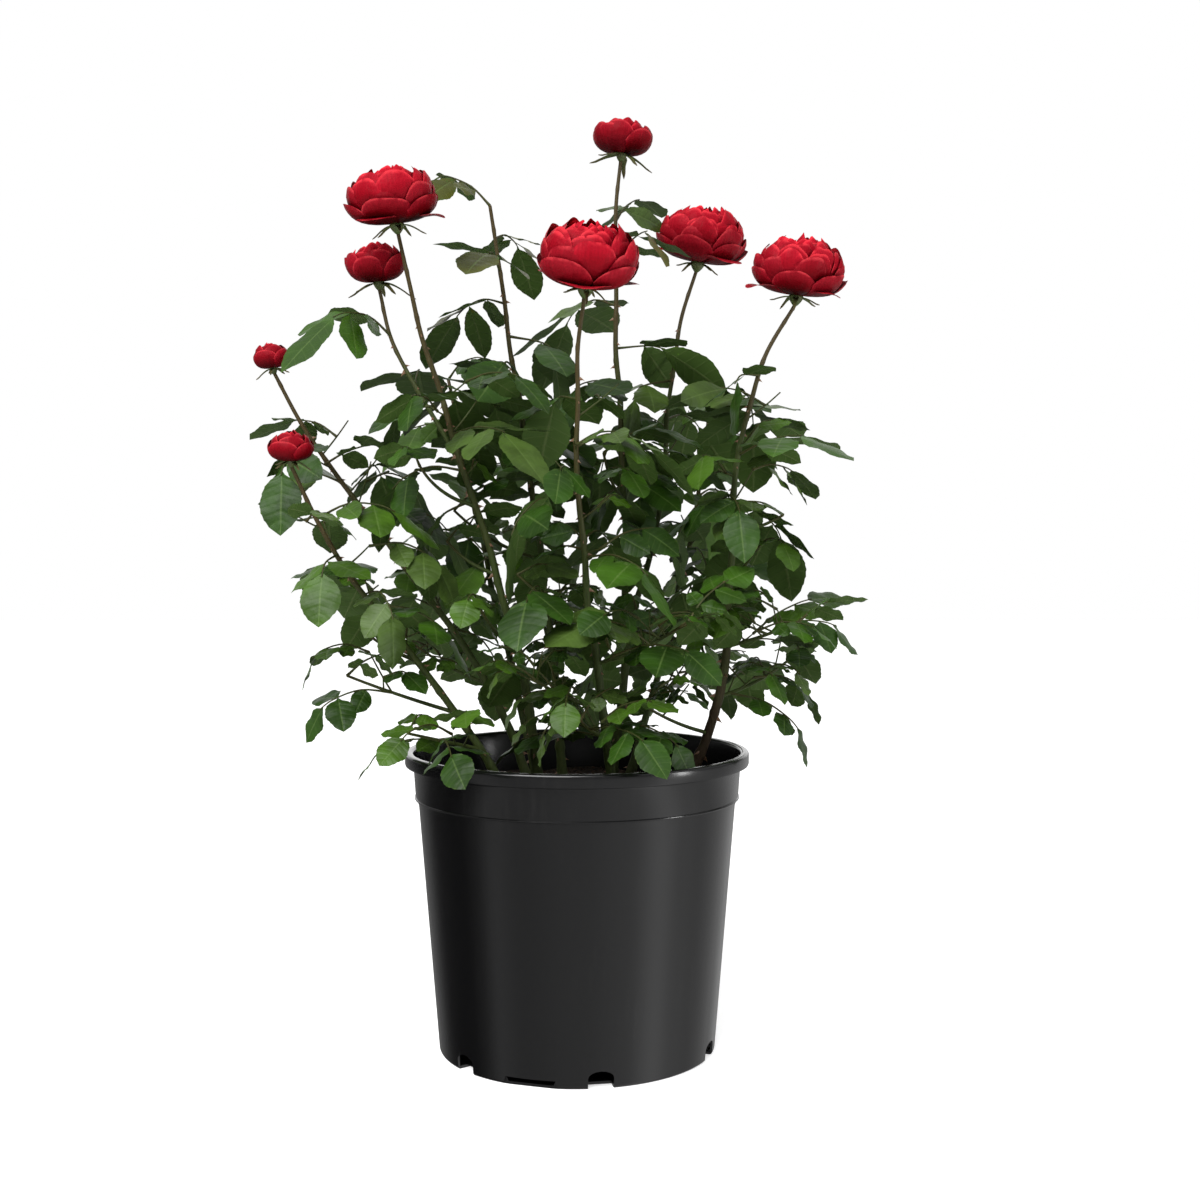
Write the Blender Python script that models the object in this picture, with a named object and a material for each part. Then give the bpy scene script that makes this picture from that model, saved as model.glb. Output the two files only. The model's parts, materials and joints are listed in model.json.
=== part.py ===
"""A potted rose bush: black nursery pot, soil, canes, leafy masses and blooms.

Units are metres, +Z is up, the origin is the middle of the pot's flat underside
and -Y is the front. Each cane is one tapering limb from a flat cut on the soil
to where it enters its leafy mass. Each mass is one stem with compound leaves
that a seeded rule sets round it, joined into one solid.
"""
import math
import random
from dataclasses import dataclass

import bmesh
import bpy
from mathutils import Vector
from mathutils.bvhtree import BVHTree

# Pot: the three-gallon nursery size.
POT_HEIGHT = 0.244
POT_BASE_R = 0.1130
POT_WALL_TOP_R = 0.1288
POT_BAND_R = 0.1332
POT_BAND_LOW_R = 0.1314
POT_LIP_R = 0.1400
POT_LIP_DROP = 0.011
POT_BAND_DROP = 0.038
POT_LIP_WIDTH = 0.0070
POT_STEP = 0.0010
POT_EDGE = 0.0014
POT_WALL = 0.0018
POT_FLOOR = 0.0022
POT_SIDES = 42
DRAIN_COUNT = 6
DRAIN_FIRST_DEG = -80.0
DRAIN_WIDTH = 0.020
DRAIN_HEIGHT = 0.014
DRAIN_DEPTH = 0.012

# Soil: its surface lies below the rim.
SOIL_TOP = 0.212
CLEAR = 0.0003

# Canes.
CANE_SIDES = 7
CANE_STEP = 0.040
FLARE = 1.35
FLARE_HEIGHT = 0.018
ZIGZAG = 0.0011
TAPER_POWER = 0.8
SPLIT_MARGIN = 0.004
GOLDEN = math.radians(137.5)

# Side shoots and the stems of the masses.
SHOOT_STEPS = 5
SHOOT_FIRST_RISE = 0.25
SHOOT_FIRST_DEG = 15.0
SHOOT_TAPER = 0.35
SHOOT_SIDES = 3
STEM_SIDES = 5

# Leaves: sizes are those of a full-grown one.
LEAFLET = 0.052
LEAFLET_WIDTH = 0.66
LEAFLET_THICK = 0.0011
STALK_R = 0.0011
ROOT_BACK = 0.004
LEAST_LEAFLETS = 3
LOWEST_LEAF = 0.186
TRIES = 7

# One number turns every draw of the bush, and each mass draws by its own name as well.
DRAW = 2

# Room: how far a piece is swollen when it is tested against its neighbours, and
# the first stretches of a stalk and of a side shoot, which are not tested.
SPARE = 0.0007
LIMB_SPARE = 0.0005
STALK_FREE = 0.0045
SHOOT_FREE = 0.004

# Share of a mass's faces that stays when its joins are thinned out.
KEEP_FACES = 0.70

# Blooms: the hip's length and radius grow with the bloom's width.
PETAL_SIDES = 12
LOBES = 5
LOBE_DEPTH = 0.07
LOBE_SWAY = 0.02
LOBE_TURN = 2.1
SEAT_MARGIN = 0.0012
TOP_DISH = 0.76
HIP_SHARE = 0.06
HIP_LENGTH = 0.0020
HIP_R = 0.0016
SEPAL_WIDTH = 0.0055
SEPAL_DROP = 0.45


@dataclass(frozen=True)
class Cane:
    """A limb: foot and tip, their sideways lean, its radii and where leaves begin."""

    name: str
    foot: tuple[float, float]
    foot_lean: float
    tip: tuple[float, float, float]
    tip_lean: float
    foot_r: float
    enters: float
    springs_from: str = ""
    foot_z: float = SOIL_TOP + CLEAR
    tip_r: float = 0.0017
    leaves: int = 6
    bloom: str = ""
    bare: float = 0.0
    leaf: float = 1.0


@dataclass(frozen=True)
class Shoot:
    """A side shoot with its own leafy mass: where it leaves its cane and how it bends."""

    name: str
    cane: str
    height: float
    azimuth: float
    length: float
    rise: float
    turn: float
    radius: float = 0.0016
    leaves: int = 3
    leaf: float = 1.0


@dataclass(frozen=True)
class Bloom:
    """A flower head: its width, its height and the lean of its axis."""

    name: str
    width: float
    height: float
    lean: tuple[float, float]
    sepal: float


CANES = (
    Cane("cane_front", (0.030, -0.045), -0.12, (0.007, -0.095, 0.598), 0.14, 0.0046, 0.400,
         bloom="bloom_front", bare=0.065, leaves=5),
    Cane("cane_left", (-0.030, -0.020), -0.05, (-0.137, -0.060, 0.652), -0.18, 0.0050, 0.460,
         bloom="bloom_left", bare=0.120, leaves=3),
    Cane("cane_far_left", (-0.040, 0.020), -0.22, (-0.249, 0.020, 0.552), -0.47, 0.0044, 0.430,
         bloom="bud_upper", bare=0.070, leaves=3),
    Cane("cane_low_left", (-0.052, -0.050), -0.48, (-0.217, -0.080, 0.472), -0.31, 0.0042, 0.360,
         bloom="bud_lower", bare=0.040, leaves=4),
    Cane("cane_middle", (-0.012, 0.030), -0.06, (-0.072, 0.030, 0.690), -0.14, 0.0046, 0.490,
         leaves=8),
    Cane("cane_tall", (0.028, 0.045), 0.19, (0.036, 0.055, 0.732), 0.10, 0.0048, 0.480,
         bloom="bloom_top", bare=0.045, leaves=7),
    Cane("cane_right", (0.089, 0.000), 0.53, (0.1745, -0.015, 0.603), 0.67, 0.0052, 0.435,
         bloom="bloom_right", bare=0.050, leaves=5),
    Cane("cane_back_left", (-0.035, 0.060), -0.25, (-0.120, 0.175, 0.560), -0.20, 0.0042, 0.400,
         leaves=5),
    Cane("cane_back_right", (0.045, 0.070), 0.30, (0.120, 0.180, 0.540), 0.10, 0.0042, 0.400,
         leaves=5),
    Cane("bough_left", (0.0, 0.0), -0.30, (-0.158, -0.012, 0.616), 0.00, 0.0024, 0.525,
         springs_from="cane_left", foot_z=0.450, leaves=3, bloom="bloom_small", bare=0.030),
    Cane("bough_right", (0.0, 0.0), 0.42, (0.101, 0.080, 0.644), 0.39, 0.0030, 0.460,
         springs_from="cane_tall", foot_z=0.355, leaves=4, bloom="bloom_back", bare=0.085),
)

SHOOTS = (
    Shoot("mass_right_low", "cane_right", 0.290, 20.0, 0.075, 35.0, 10.0),
    Shoot("mass_right_out", "cane_right", 0.330, -30.0, 0.060, 25.0, 10.0),
    Shoot("mass_right_in", "cane_right", 0.258, 220.0, 0.075, 30.0, 0.0, leaves=2),
    Shoot("mass_right_high", "cane_right", 0.420, -10.0, 0.040, 30.0, 0.0, leaves=2),
    Shoot("mass_right_mid", "cane_right", 0.385, 60.0, 0.050, 35.0, 0.0, leaves=2),
    Shoot("mass_front_low", "cane_front", 0.262, -110.0, 0.070, 20.0, 10.0),
    Shoot("mass_front_side", "cane_front", 0.320, -20.0, 0.080, 35.0, -10.0),
    Shoot("mass_front_left", "cane_front", 0.285, 215.0, 0.080, 35.0, 10.0),
    Shoot("mass_front_mid", "cane_front", 0.360, 180.0, 0.060, 45.0, 10.0),
    Shoot("mass_left_low", "cane_low_left", 0.255, 215.0, 0.060, 15.0, 0.0),
    Shoot("mass_left_out", "cane_low_left", 0.285, 170.0, 0.085, 20.0, 0.0),
    Shoot("mass_left_mid", "cane_low_left", 0.325, 150.0, 0.045, 30.0, 0.0, leaves=2),
    Shoot("mass_left_front", "cane_left", 0.330, 250.0, 0.080, 40.0, 0.0),
    Shoot("mass_left_inner", "cane_left", 0.390, 150.0, 0.050, 45.0, 0.0, leaves=2),
    Shoot("mass_left_high", "cane_left", 0.445, 190.0, 0.050, 60.0, 0.0, leaves=2),
    Shoot("mass_far_left_low", "cane_far_left", 0.300, 150.0, 0.075, 30.0, 0.0, leaves=2),
    Shoot("mass_far_left_back", "cane_far_left", 0.340, 110.0, 0.080, 35.0, 0.0),
    Shoot("mass_middle_low", "cane_middle", 0.320, 100.0, 0.080, 40.0, 0.0),
    Shoot("mass_middle_side", "cane_middle", 0.400, 190.0, 0.080, 45.0, 0.0, leaves=2),
    Shoot("mass_middle_high", "cane_middle", 0.460, 60.0, 0.050, 60.0, 0.0, leaves=2),
    Shoot("mass_tall_low", "cane_tall", 0.300, 80.0, 0.075, 40.0, 0.0),
    Shoot("mass_tall_high", "cane_tall", 0.450, -110.0, 0.060, 60.0, 0.0, leaves=2),
    Shoot("mass_back_left_low", "cane_back_left", 0.280, 120.0, 0.070, 30.0, 0.0),
    Shoot("mass_back_left_high", "cane_back_left", 0.360, 40.0, 0.060, 40.0, 0.0, leaves=2),
    Shoot("mass_back_right_low", "cane_back_right", 0.280, 50.0, 0.070, 30.0, 0.0),
    Shoot("mass_back_right_high", "cane_back_right", 0.360, 0.0, 0.060, 40.0, 0.0, leaves=2),
)

BLOOMS = (
    Bloom("bloom_front", 0.079, 0.060, (0.12, -0.30), 0.016),
    Bloom("bloom_left", 0.072, 0.052, (-0.12, -0.15), 0.018),
    Bloom("bud_upper", 0.030, 0.024, (-0.15, -0.05), 0.013),
    Bloom("bud_lower", 0.036, 0.027, (0.00, -0.15), 0.014),
    Bloom("bloom_small", 0.050, 0.036, (-0.10, -0.10), 0.016),
    Bloom("bloom_top", 0.051, 0.034, (0.12, 0.00), 0.026),
    Bloom("bloom_back", 0.078, 0.056, (0.18, -0.10), 0.018),
    Bloom("bloom_right", 0.075, 0.056, (0.12, -0.12), 0.018),
)


# ---------------------------------------------------------------- growth rule


def hermite(start, end, lean_start, lean_end, rise, share):
    """Cubic between two values, with its slope per metre of rise given at both ends."""
    s2 = share * share
    s3 = s2 * share
    value = (2 * s3 - 3 * s2 + 1) * start + (3 * s2 - 2 * s3) * end
    return value + ((s3 - 2 * s2 + share) * lean_start + (s3 - s2) * lean_end) * rise


def guide_for(direction):
    """The axis of the frame that lies least along a direction."""
    least = min(range(3), key=lambda k: abs(direction[k]))
    return Vector([1.0 if k == least else 0.0 for k in range(3)])


def square_frame(direction, guide):
    """Two unit vectors square to a direction and to each other, the first square to the guide."""
    across = direction.cross(guide).normalized()
    return across, across.cross(direction).normalized()


def tube(points, radii, sides, level_foot=False):
    """A tapering closed tube along points: its ends are square to it, or its foot is level."""
    verts = []
    faces = []
    guide = guide_for(points[-1] - points[0])
    for i, point in enumerate(points):
        ahead = points[min(i + 1, len(points) - 1)] - points[max(i - 1, 0)]
        if level_foot and i == 0:
            ahead = Vector((0.0, 0.0, 1.0))
        across, over = square_frame(ahead.normalized(), guide)
        for k in range(sides):
            turn = 2 * math.pi * k / sides
            verts.append(point + (across * math.cos(turn) + over * math.sin(turn)) * radii[i])
    for i in range(len(points) - 1):
        for k in range(sides):
            a = i * sides + k
            b = i * sides + (k + 1) % sides
            faces.append((a, a + sides, b + sides, b))
    faces.append(tuple(range(sides)))
    faces.append(tuple(reversed(range((len(points) - 1) * sides, len(points) * sides))))
    return verts, faces


class Limb:
    """A stem's centre line and radii, from its foot to its tip."""

    def __init__(self, points, radii):
        self.points = points
        self.radii = radii

    def at(self, height):
        """Centre, direction and radius where the limb passes a height."""
        for i in range(len(self.points) - 1):
            low = self.points[i]
            high = self.points[i + 1]
            if low.z <= height <= high.z:
                share = (height - low.z) / (high.z - low.z)
                radius = self.radii[i] + (self.radii[i + 1] - self.radii[i]) * share
                return low.lerp(high, share), (high - low).normalized(), radius
        return self.points[-1], (self.points[-1] - self.points[-2]).normalized(), self.radii[-1]


def seat_beside(parent, height, direction, radius):
    """Where a side limb starts: its end disc is CLEAR off the parent's skin."""
    centre, axis, thick = parent.at(height)
    out = direction - axis * direction.dot(axis)
    out.normalize()
    return centre + out * (thick + CLEAR + radius * abs(direction.dot(axis)))


def cane_limb(cane, limbs):
    """The whole centre line of a cane: cubic sideways, straight in depth, with a zigzag."""
    foot_x, foot_y = cane.foot
    if cane.springs_from:
        parent = limbs[cane.springs_from]
        centre, axis, thick = parent.at(cane.foot_z)
        depth = (cane.tip[1] - centre.y) / (cane.tip[2] - cane.foot_z)
        start = Vector((cane.foot_lean, depth, 1.0)).normalized()
        seat = seat_beside(parent, cane.foot_z, start, cane.foot_r)
        foot_x, foot_y = seat.x, seat.y
        low = seat.z
    else:
        low = cane.foot_z
    rise = cane.tip[2] - low
    count = max(4, round(rise / CANE_STEP))
    points = []
    radii = []
    for i in range(count + 1):
        share = i / count
        z = low + rise * share
        x = hermite(foot_x, cane.tip[0], cane.foot_lean, cane.tip_lean, rise, share)
        y = foot_y + (cane.tip[1] - foot_y) * share
        sway = ZIGZAG if 0 < i < count else 0.0
        points.append(Vector((x + sway * math.cos(i * GOLDEN), y + sway * math.sin(i * GOLDEN), z)))
        radii.append(cane.foot_r + (cane.tip_r - cane.foot_r) * share ** TAPER_POWER)
    if not cane.springs_from:
        points.insert(1, points[0].lerp(points[1], FLARE_HEIGHT / (points[1].z - points[0].z)))
        radii.insert(1, radii[0])
        radii[0] *= FLARE
    return Limb(points, radii)


def split_limb(limb, height):
    """The limb below a height, and the limb above it, CLEAR apart."""
    centre, direction, radius = limb.at(height)
    below = [i for i, point in enumerate(limb.points) if point.z < height - SPLIT_MARGIN]
    above = [i for i, point in enumerate(limb.points) if point.z > height + SPLIT_MARGIN]
    lower = Limb([limb.points[i] for i in below] + [centre], [limb.radii[i] for i in below] + [radius])
    upper = Limb([centre + direction * CLEAR] + [limb.points[i] for i in above],
                 [radius] + [limb.radii[i] for i in above])
    return lower, upper


def shoot_limb(shoot, limbs):
    """A side shoot's centre line: out of the cane's side, then bending up."""
    parent = limbs[shoot.cane]
    azimuth = math.radians(shoot.azimuth)
    first = Vector((math.cos(azimuth), math.sin(azimuth), SHOOT_FIRST_RISE)).normalized()
    points = [seat_beside(parent, shoot.height, first, shoot.radius)]
    radii = [shoot.radius]
    for i in range(SHOOT_STEPS):
        share = (i + 0.5) / SHOOT_STEPS
        angle = azimuth + math.radians(shoot.turn) * share
        lift = math.radians(SHOOT_FIRST_DEG + (shoot.rise - SHOOT_FIRST_DEG) * share)
        ahead = Vector((math.cos(angle) * math.cos(lift), math.sin(angle) * math.cos(lift), math.sin(lift)))
        points.append(points[-1] + ahead * (shoot.length / SHOOT_STEPS))
        radii.append(shoot.radius * (1.0 - SHOOT_TAPER * (i + 1) / SHOOT_STEPS))
    return Limb(points, radii)


@dataclass
class Leaflet:
    """One blade: root, direction, normal, length, width, tip curl and edge fold."""

    root: Vector
    ahead: Vector
    normal: Vector
    length: float
    width: float
    curl: float
    fold: float


@dataclass
class Leaf:
    """A compound leaf: its stalk's points and its leaflets."""

    stalk: list
    leaflets: list


def plan_leaf(rng, root, azimuth, age, scale):
    """Draw one compound leaf; age runs from 0 at the shoot's tip to 1 at its foot."""
    size = LEAFLET * scale * (0.74 + 0.36 * min(1.0, age * 2.0)) * rng.uniform(0.88, 1.12)
    lift = math.radians(rng.uniform(30.0, 62.0) - 38.0 * age)
    droop = math.radians(rng.uniform(30.0, 85.0))
    roll = math.radians(rng.gauss(0.0, 16.0))
    pairs = 1 if rng.random() < 0.30 - 0.25 * age else 2
    spans = [0.50] + [0.44] * (pairs - 1) + [0.26]
    length = sum(spans)
    heading = Vector((math.cos(azimuth), math.sin(azimuth), 0.0))
    stalk = [root]
    leaflets = []
    gone = 0.0
    for i, span in enumerate(spans):
        lift_here = lift - droop * (gone + span * 0.5) / length
        gone += span
        ahead = heading * math.cos(lift_here) + Vector((0.0, 0.0, math.sin(lift_here)))
        flat = Vector((0.0, 0.0, math.cos(lift_here))) - heading * math.sin(lift_here)
        side = ahead.cross(flat)
        normal = flat * math.cos(roll) + side * math.sin(roll)
        side = ahead.cross(normal)
        stalk.append(stalk[-1] + ahead * (span * size))
        last = i == len(spans) - 1
        share = 1.0 if last else (0.66 if i == 0 and pairs == 2 else 0.86)
        for turn in ((0.0,) if last else (1.0, -1.0)):
            spread = turn * math.radians(rng.uniform(56.0, 74.0))
            hang = math.radians(rng.uniform(4.0, 34.0))
            along = ahead * math.cos(spread) + side * math.sin(spread)
            blade = along * math.cos(hang) - normal * math.sin(hang)
            face = along * math.sin(hang) + normal * math.cos(hang)
            twist = math.radians(rng.gauss(0.0, 14.0))
            face = face * math.cos(twist) + blade.cross(face) * math.sin(twist)
            reach = size * share * rng.uniform(0.92, 1.08)
            leaflets.append(Leaflet(stalk[-1] - ahead * ROOT_BACK, blade, face, reach,
                                    reach * LEAFLET_WIDTH * rng.uniform(0.92, 1.08),
                                    rng.uniform(0.04, 0.20), rng.uniform(0.02, 0.16)))
    return Leaf(stalk, leaflets)


def leaflet_solid(leaflet, spare):
    """A blade as a thin solid of ten faces, its root sunk in the stalk."""
    side = leaflet.ahead.cross(leaflet.normal)
    half = leaflet.width * 0.5 + spare

    def spot(along, across, lift):
        drop = leaflet.curl * along * along
        rise = leaflet.fold * abs(across) * leaflet.width * 0.5
        return (leaflet.root + leaflet.ahead * (leaflet.length * along) + side * (half * across)
                + leaflet.normal * (lift + rise - drop * leaflet.length))

    verts = [spot(0.004, 0.0, -spare), spot(0.30, 0.94, -spare), spot(0.66, 0.82, -spare),
             spot(1.0 + spare / leaflet.length, 0.0, -spare), spot(0.66, -0.82, -spare),
             spot(0.30, -0.94, -spare), spot(0.22, 0.0, LEAFLET_THICK + spare)]
    faces = [(i, (i + 1) % 6, 6) for i in range(6)]
    faces.extend(((3, 2, 1), (3, 1, 0), (3, 0, 5), (3, 5, 4)))
    return verts, faces


def stalk_solid(leaf, spare, skip):
    """A leaf's stalk as a three-sided tube, less a first stretch."""
    points = list(leaf.stalk)
    if skip:
        points[0] = points[0] + (points[1] - points[0]).normalized() * skip
    radii = [STALK_R * (1.15 - 0.35 * i / (len(points) - 1)) + spare for i in range(len(points))]
    return tube(points, radii, 3)


class Space:
    """What already stands: a new piece may not touch it."""

    def __init__(self):
        self.trees = []

    def add(self, solids):
        """Take solids in as one standing piece."""
        self.trees.append(self.tree(solids))

    @staticmethod
    def tree(solids):
        """A search tree of solids with the box round them."""
        verts = []
        faces = []
        for points, sides in solids:
            start = len(verts)
            verts.extend(points)
            faces.extend(tuple(k + start for k in face) for face in sides)
        low = [min(v[k] for v in verts) for k in range(3)]
        high = [max(v[k] for v in verts) for k in range(3)]
        return BVHTree.FromPolygons(verts, faces), low, high

    def touches(self, solids):
        """Whether solids cut anything that stands."""
        new, low, high = self.tree(solids)
        for old, old_low, old_high in self.trees:
            apart = any(low[k] > old_high[k] or high[k] < old_low[k] for k in range(3))
            if not apart and old.overlap(new):
                return True
        return False


def clear_of(leaf, stem_r, space):
    """The leaf without the blades that would touch something, or None if too few are left."""
    stalk = stalk_solid(leaf, SPARE, stem_r + STALK_FREE)
    if space.touches([stalk]):
        return None
    kept = [blade for blade in leaf.leaflets if not space.touches([leaflet_solid(blade, SPARE)])]
    if len(kept) < LEAST_LEAFLETS or kept[-1] is not leaf.leaflets[-1]:
        return None
    solids = [leaflet_solid(blade, SPARE) for blade in kept]
    low = min(point.z for verts, faces in solids for point in verts)
    if low < LOWEST_LEAF:
        return None
    space.add(solids + [stalk])
    return Leaf(leaf.stalk, kept)


def grow_mass(limb, name, count, scale, space, last, first=0.06):
    """Set compound leaves round a limb by the golden angle, skipping those that touch."""
    rng = random.Random(f"{name} {DRAW}")
    leaves = []
    spin = rng.uniform(0.0, 2 * math.pi)
    total = len(limb.points) - 1
    for i in range(count):
        share = first + (last - first) * (i / max(1, count - 1))
        place = share * total
        k = min(int(place), total - 1)
        root = limb.points[k].lerp(limb.points[k + 1], place - k)
        for attempt in range(TRIES):
            azimuth = spin + i * GOLDEN + math.radians(rng.gauss(0.0, 10.0 + 9.0 * attempt))
            leaf = clear_of(plan_leaf(rng, root, azimuth, 1.0 - share, scale), limb.radii[k], space)
            if leaf:
                leaves.append(leaf)
                break
    return leaves


def pot_profile():
    """The pot's half section, from the middle of its underside round to the inside floor."""
    top = POT_HEIGHT
    lip_low = top - POT_LIP_DROP
    band_low = top - POT_BAND_DROP
    inner_top = POT_LIP_R - POT_LIP_WIDTH
    return [
        (0.0, 0.0),
        (POT_BASE_R, 0.0),
        (POT_WALL_TOP_R, band_low - POT_STEP),
        (POT_BAND_LOW_R, band_low),
        (POT_BAND_R, lip_low),
        (POT_LIP_R, lip_low + POT_EDGE * 0.5),
        (POT_LIP_R, top - POT_EDGE),
        (POT_LIP_R - POT_EDGE, top),
        (inner_top + POT_EDGE, top),
        (inner_top, top - POT_EDGE),
        (POT_WALL_TOP_R - POT_WALL, band_low - POT_STEP),
        (POT_BASE_R - POT_WALL, POT_FLOOR),
        (0.0, POT_FLOOR),
    ]


def inner_radius(height):
    """The pot's inner radius at a height between its floor and its band's foot."""
    high = POT_HEIGHT - POT_BAND_DROP - POT_STEP
    share = (height - POT_FLOOR) / (high - POT_FLOOR)
    return POT_BASE_R - POT_WALL + (POT_WALL_TOP_R - POT_BASE_R) * share


def soil_profile():
    """The soil's half section, CLEAR of the pot all round."""
    knee = POT_HEIGHT - POT_BAND_DROP - POT_STEP
    return [
        (0.0, POT_FLOOR + CLEAR),
        (inner_radius(POT_FLOOR) - CLEAR * 1.5, POT_FLOOR + CLEAR),
        (inner_radius(knee) - CLEAR * 1.5, SOIL_TOP),
        (0.0, SOIL_TOP),
    ]


def turned(profile, sides, phase=0.0):
    """A profile turned about Z: closed, its first and last points on the axis."""
    verts = []
    faces = []
    rings = []
    for radius, height in profile:
        if radius == 0.0:
            rings.append([len(verts)])
            verts.append(Vector((0.0, 0.0, height)))
            continue
        rings.append(list(range(len(verts), len(verts) + sides)))
        for k in range(sides):
            turn = phase + 2 * math.pi * k / sides
            verts.append(Vector((radius * math.cos(turn), radius * math.sin(turn), height)))
    for low, high in zip(rings, rings[1:]):
        for k in range(sides):
            n = (k + 1) % sides
            if len(low) == 1:
                faces.append((low[0], high[n], high[k]))
            elif len(high) == 1:
                faces.append((low[k], low[n], high[0]))
            else:
                faces.append((low[k], low[n], high[n], high[k]))
    return verts, faces


def hip_length(bloom):
    """Length of the hip under a bloom."""
    return HIP_SHARE * bloom.width + HIP_LENGTH


def hip_radius(bloom):
    """Radius of the hip's top under a bloom."""
    return HIP_SHARE * bloom.width + HIP_R


def bloom_solid(bloom, seat, axis):
    """A full-blown head: tiers of petals round an axis, the outer ones hanging below its seat."""
    across, over = square_frame(axis, Vector((0.0, 1.0, 0.0)))
    foot = 2 * (hip_radius(bloom) + SEAT_MARGIN) / bloom.width
    tiers = ((0.00, foot), (-0.12, 0.86), (0.06, 0.99), (0.38, 0.97), (0.66, 0.72), (0.80, 0.40))
    verts = [seat]
    for i, (height, width) in enumerate(tiers):
        for k in range(PETAL_SIDES):
            turn = 2 * math.pi * k / PETAL_SIDES
            wave = LOBES * turn + LOBE_TURN * i
            reach = bloom.width * 0.5 * width * (1.0 + LOBE_DEPTH * math.cos(wave) * min(i, 1))
            rise = bloom.height * (height + LOBE_SWAY * math.cos(wave + 1.0) * min(i, 1))
            verts.append(seat + axis * rise + (across * math.cos(turn) + over * math.sin(turn)) * reach)
    verts.append(seat + axis * bloom.height * TOP_DISH)
    faces = []
    for k in range(PETAL_SIDES):
        n = (k + 1) % PETAL_SIDES
        top = 1 + (len(tiers) - 1) * PETAL_SIDES
        faces.append((0, 1 + k, 1 + n))
        faces.append((top + n, top + k, len(verts) - 1))
        for i in range(len(tiers) - 1):
            a = 1 + i * PETAL_SIDES + k
            b = 1 + i * PETAL_SIDES + n
            faces.append((a, a + PETAL_SIDES, b + PETAL_SIDES, b))
    return verts, faces


class Plant:
    """The whole bush worked out: limbs, masses and where each bloom sits."""

    def __init__(self):
        self.space = Space()
        self.space.add([turned(pot_profile(), POT_SIDES)])
        self.space.add([turned(soil_profile(), POT_SIDES)])
        self.blooms = {}
        self.lower = {}
        self.masses = {}
        limbs = {}
        for cane in CANES:
            limbs[cane.name] = cane_limb(cane, limbs)
        for cane in CANES:
            self.lower[cane.name], upper = split_limb(limbs[cane.name], cane.enters)
            mass = cane.name.replace("cane_", "crown_").replace("bough_", "crown_bough_")
            self.masses[mass] = [upper, cane, []]
            self.space.add([self.guard(limbs[cane.name])])
        for bloom in BLOOMS:
            cane = next(row for row in CANES if row.bloom == bloom.name)
            tip = limbs[cane.name].points[-1]
            axis = Vector((bloom.lean[0], bloom.lean[1], 1.0)).normalized()
            seat = tip + axis * (hip_length(bloom) + CLEAR)
            self.blooms[bloom.name] = (seat, axis)
            self.space.add([bloom_solid(bloom, seat, axis)])
        for shoot in SHOOTS:
            limb = shoot_limb(shoot, limbs)
            self.space.add([self.guard(limb, SHOOT_FREE)])
            self.masses[shoot.name] = [limb, shoot, []]
        for name in self.masses:
            self.leaf(name)

    @staticmethod
    def guard(limb, skip=0.0):
        """A limb as a slightly swollen tube for the touching test."""
        points = list(limb.points)
        points[0] = points[0] + (points[1] - points[0]).normalized() * skip
        return tube(points, [radius + LIMB_SPARE for radius in limb.radii], STEM_SIDES)

    def leaf(self, name):
        """Grow the leaves of one mass."""
        limb, row, _ = self.masses[name]
        rise = (limb.points[-1] - limb.points[0]).length
        last = 1.0 - row.bare / rise if isinstance(row, Cane) else 1.0
        self.masses[name][2] = grow_mass(limb, name, row.leaves, row.leaf, self.space, last)


# ---------------------------------------------------------------- making objects


def material(name, colour, roughness, metallic=0.0):
    """A plain Principled material."""
    made = bpy.data.materials.new(name)
    made.use_nodes = True
    shader = made.node_tree.nodes["Principled BSDF"]
    shader.inputs["Base Color"].default_value = (*colour, 1.0)
    shader.inputs["Roughness"].default_value = roughness
    shader.inputs["Metallic"].default_value = metallic
    made.diffuse_color = (*colour, 1.0)
    return made


def make(name, solid, finish, place=None):
    """An object of one closed solid."""
    verts, faces = solid
    mesh = bpy.data.meshes.new(name)
    mesh.from_pydata([tuple(v) for v in verts], [], faces)
    mesh.validate()
    mesh.materials.append(finish)
    made = bpy.data.objects.new(name, mesh)
    (place or bpy.context.scene.collection).objects.link(made)
    return made


def evaluate(made):
    """Apply an object's modifiers to its mesh."""
    graph = bpy.context.evaluated_depsgraph_get()
    mesh = bpy.data.meshes.new_from_object(made.evaluated_get(graph))
    old = made.data
    made.modifiers.clear()
    made.data = mesh
    bpy.data.meshes.remove(old)


def islands(bm):
    """The mesh's connected pieces, each a set of faces."""
    left = set(bm.faces)
    found = []
    while left:
        seed = left.pop()
        piece = {seed}
        edge = [seed]
        while edge:
            face = edge.pop()
            for loop in face.loops:
                for other in loop.edge.link_faces:
                    if other in left:
                        left.discard(other)
                        piece.add(other)
                        edge.append(other)
        found.append(piece)
    return found


def volume_of(faces):
    """Signed volume inside a piece's faces."""
    total = 0.0
    for face in faces:
        first = face.verts[0].co
        for a, b in zip(face.verts[1:-1], face.verts[2:]):
            total += first.dot(a.co.cross(b.co)) / 6.0
    return total


def cut_to_triangles(bm):
    """Triangles from many-sided faces, a face whose diagonal is taken being cut from its middle."""
    for attempt in range(5):
        trial = bm.copy()
        bmesh.ops.triangulate(trial, faces=trial.faces[:])
        trial.verts.index_update()
        shared = [{vert.index for vert in edge.verts} for edge in trial.edges if len(edge.link_faces) > 2]
        if not shared or attempt == 4:
            return trial
        trial.free()
        bm.verts.index_update()
        whole = [face for face in bm.faces if len(face.verts) > 3
                 and any(pair <= {vert.index for vert in face.verts} for pair in shared)]
        bmesh.ops.poke(bm, faces=whole[:max(1, len(whole) // 2)])


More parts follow.
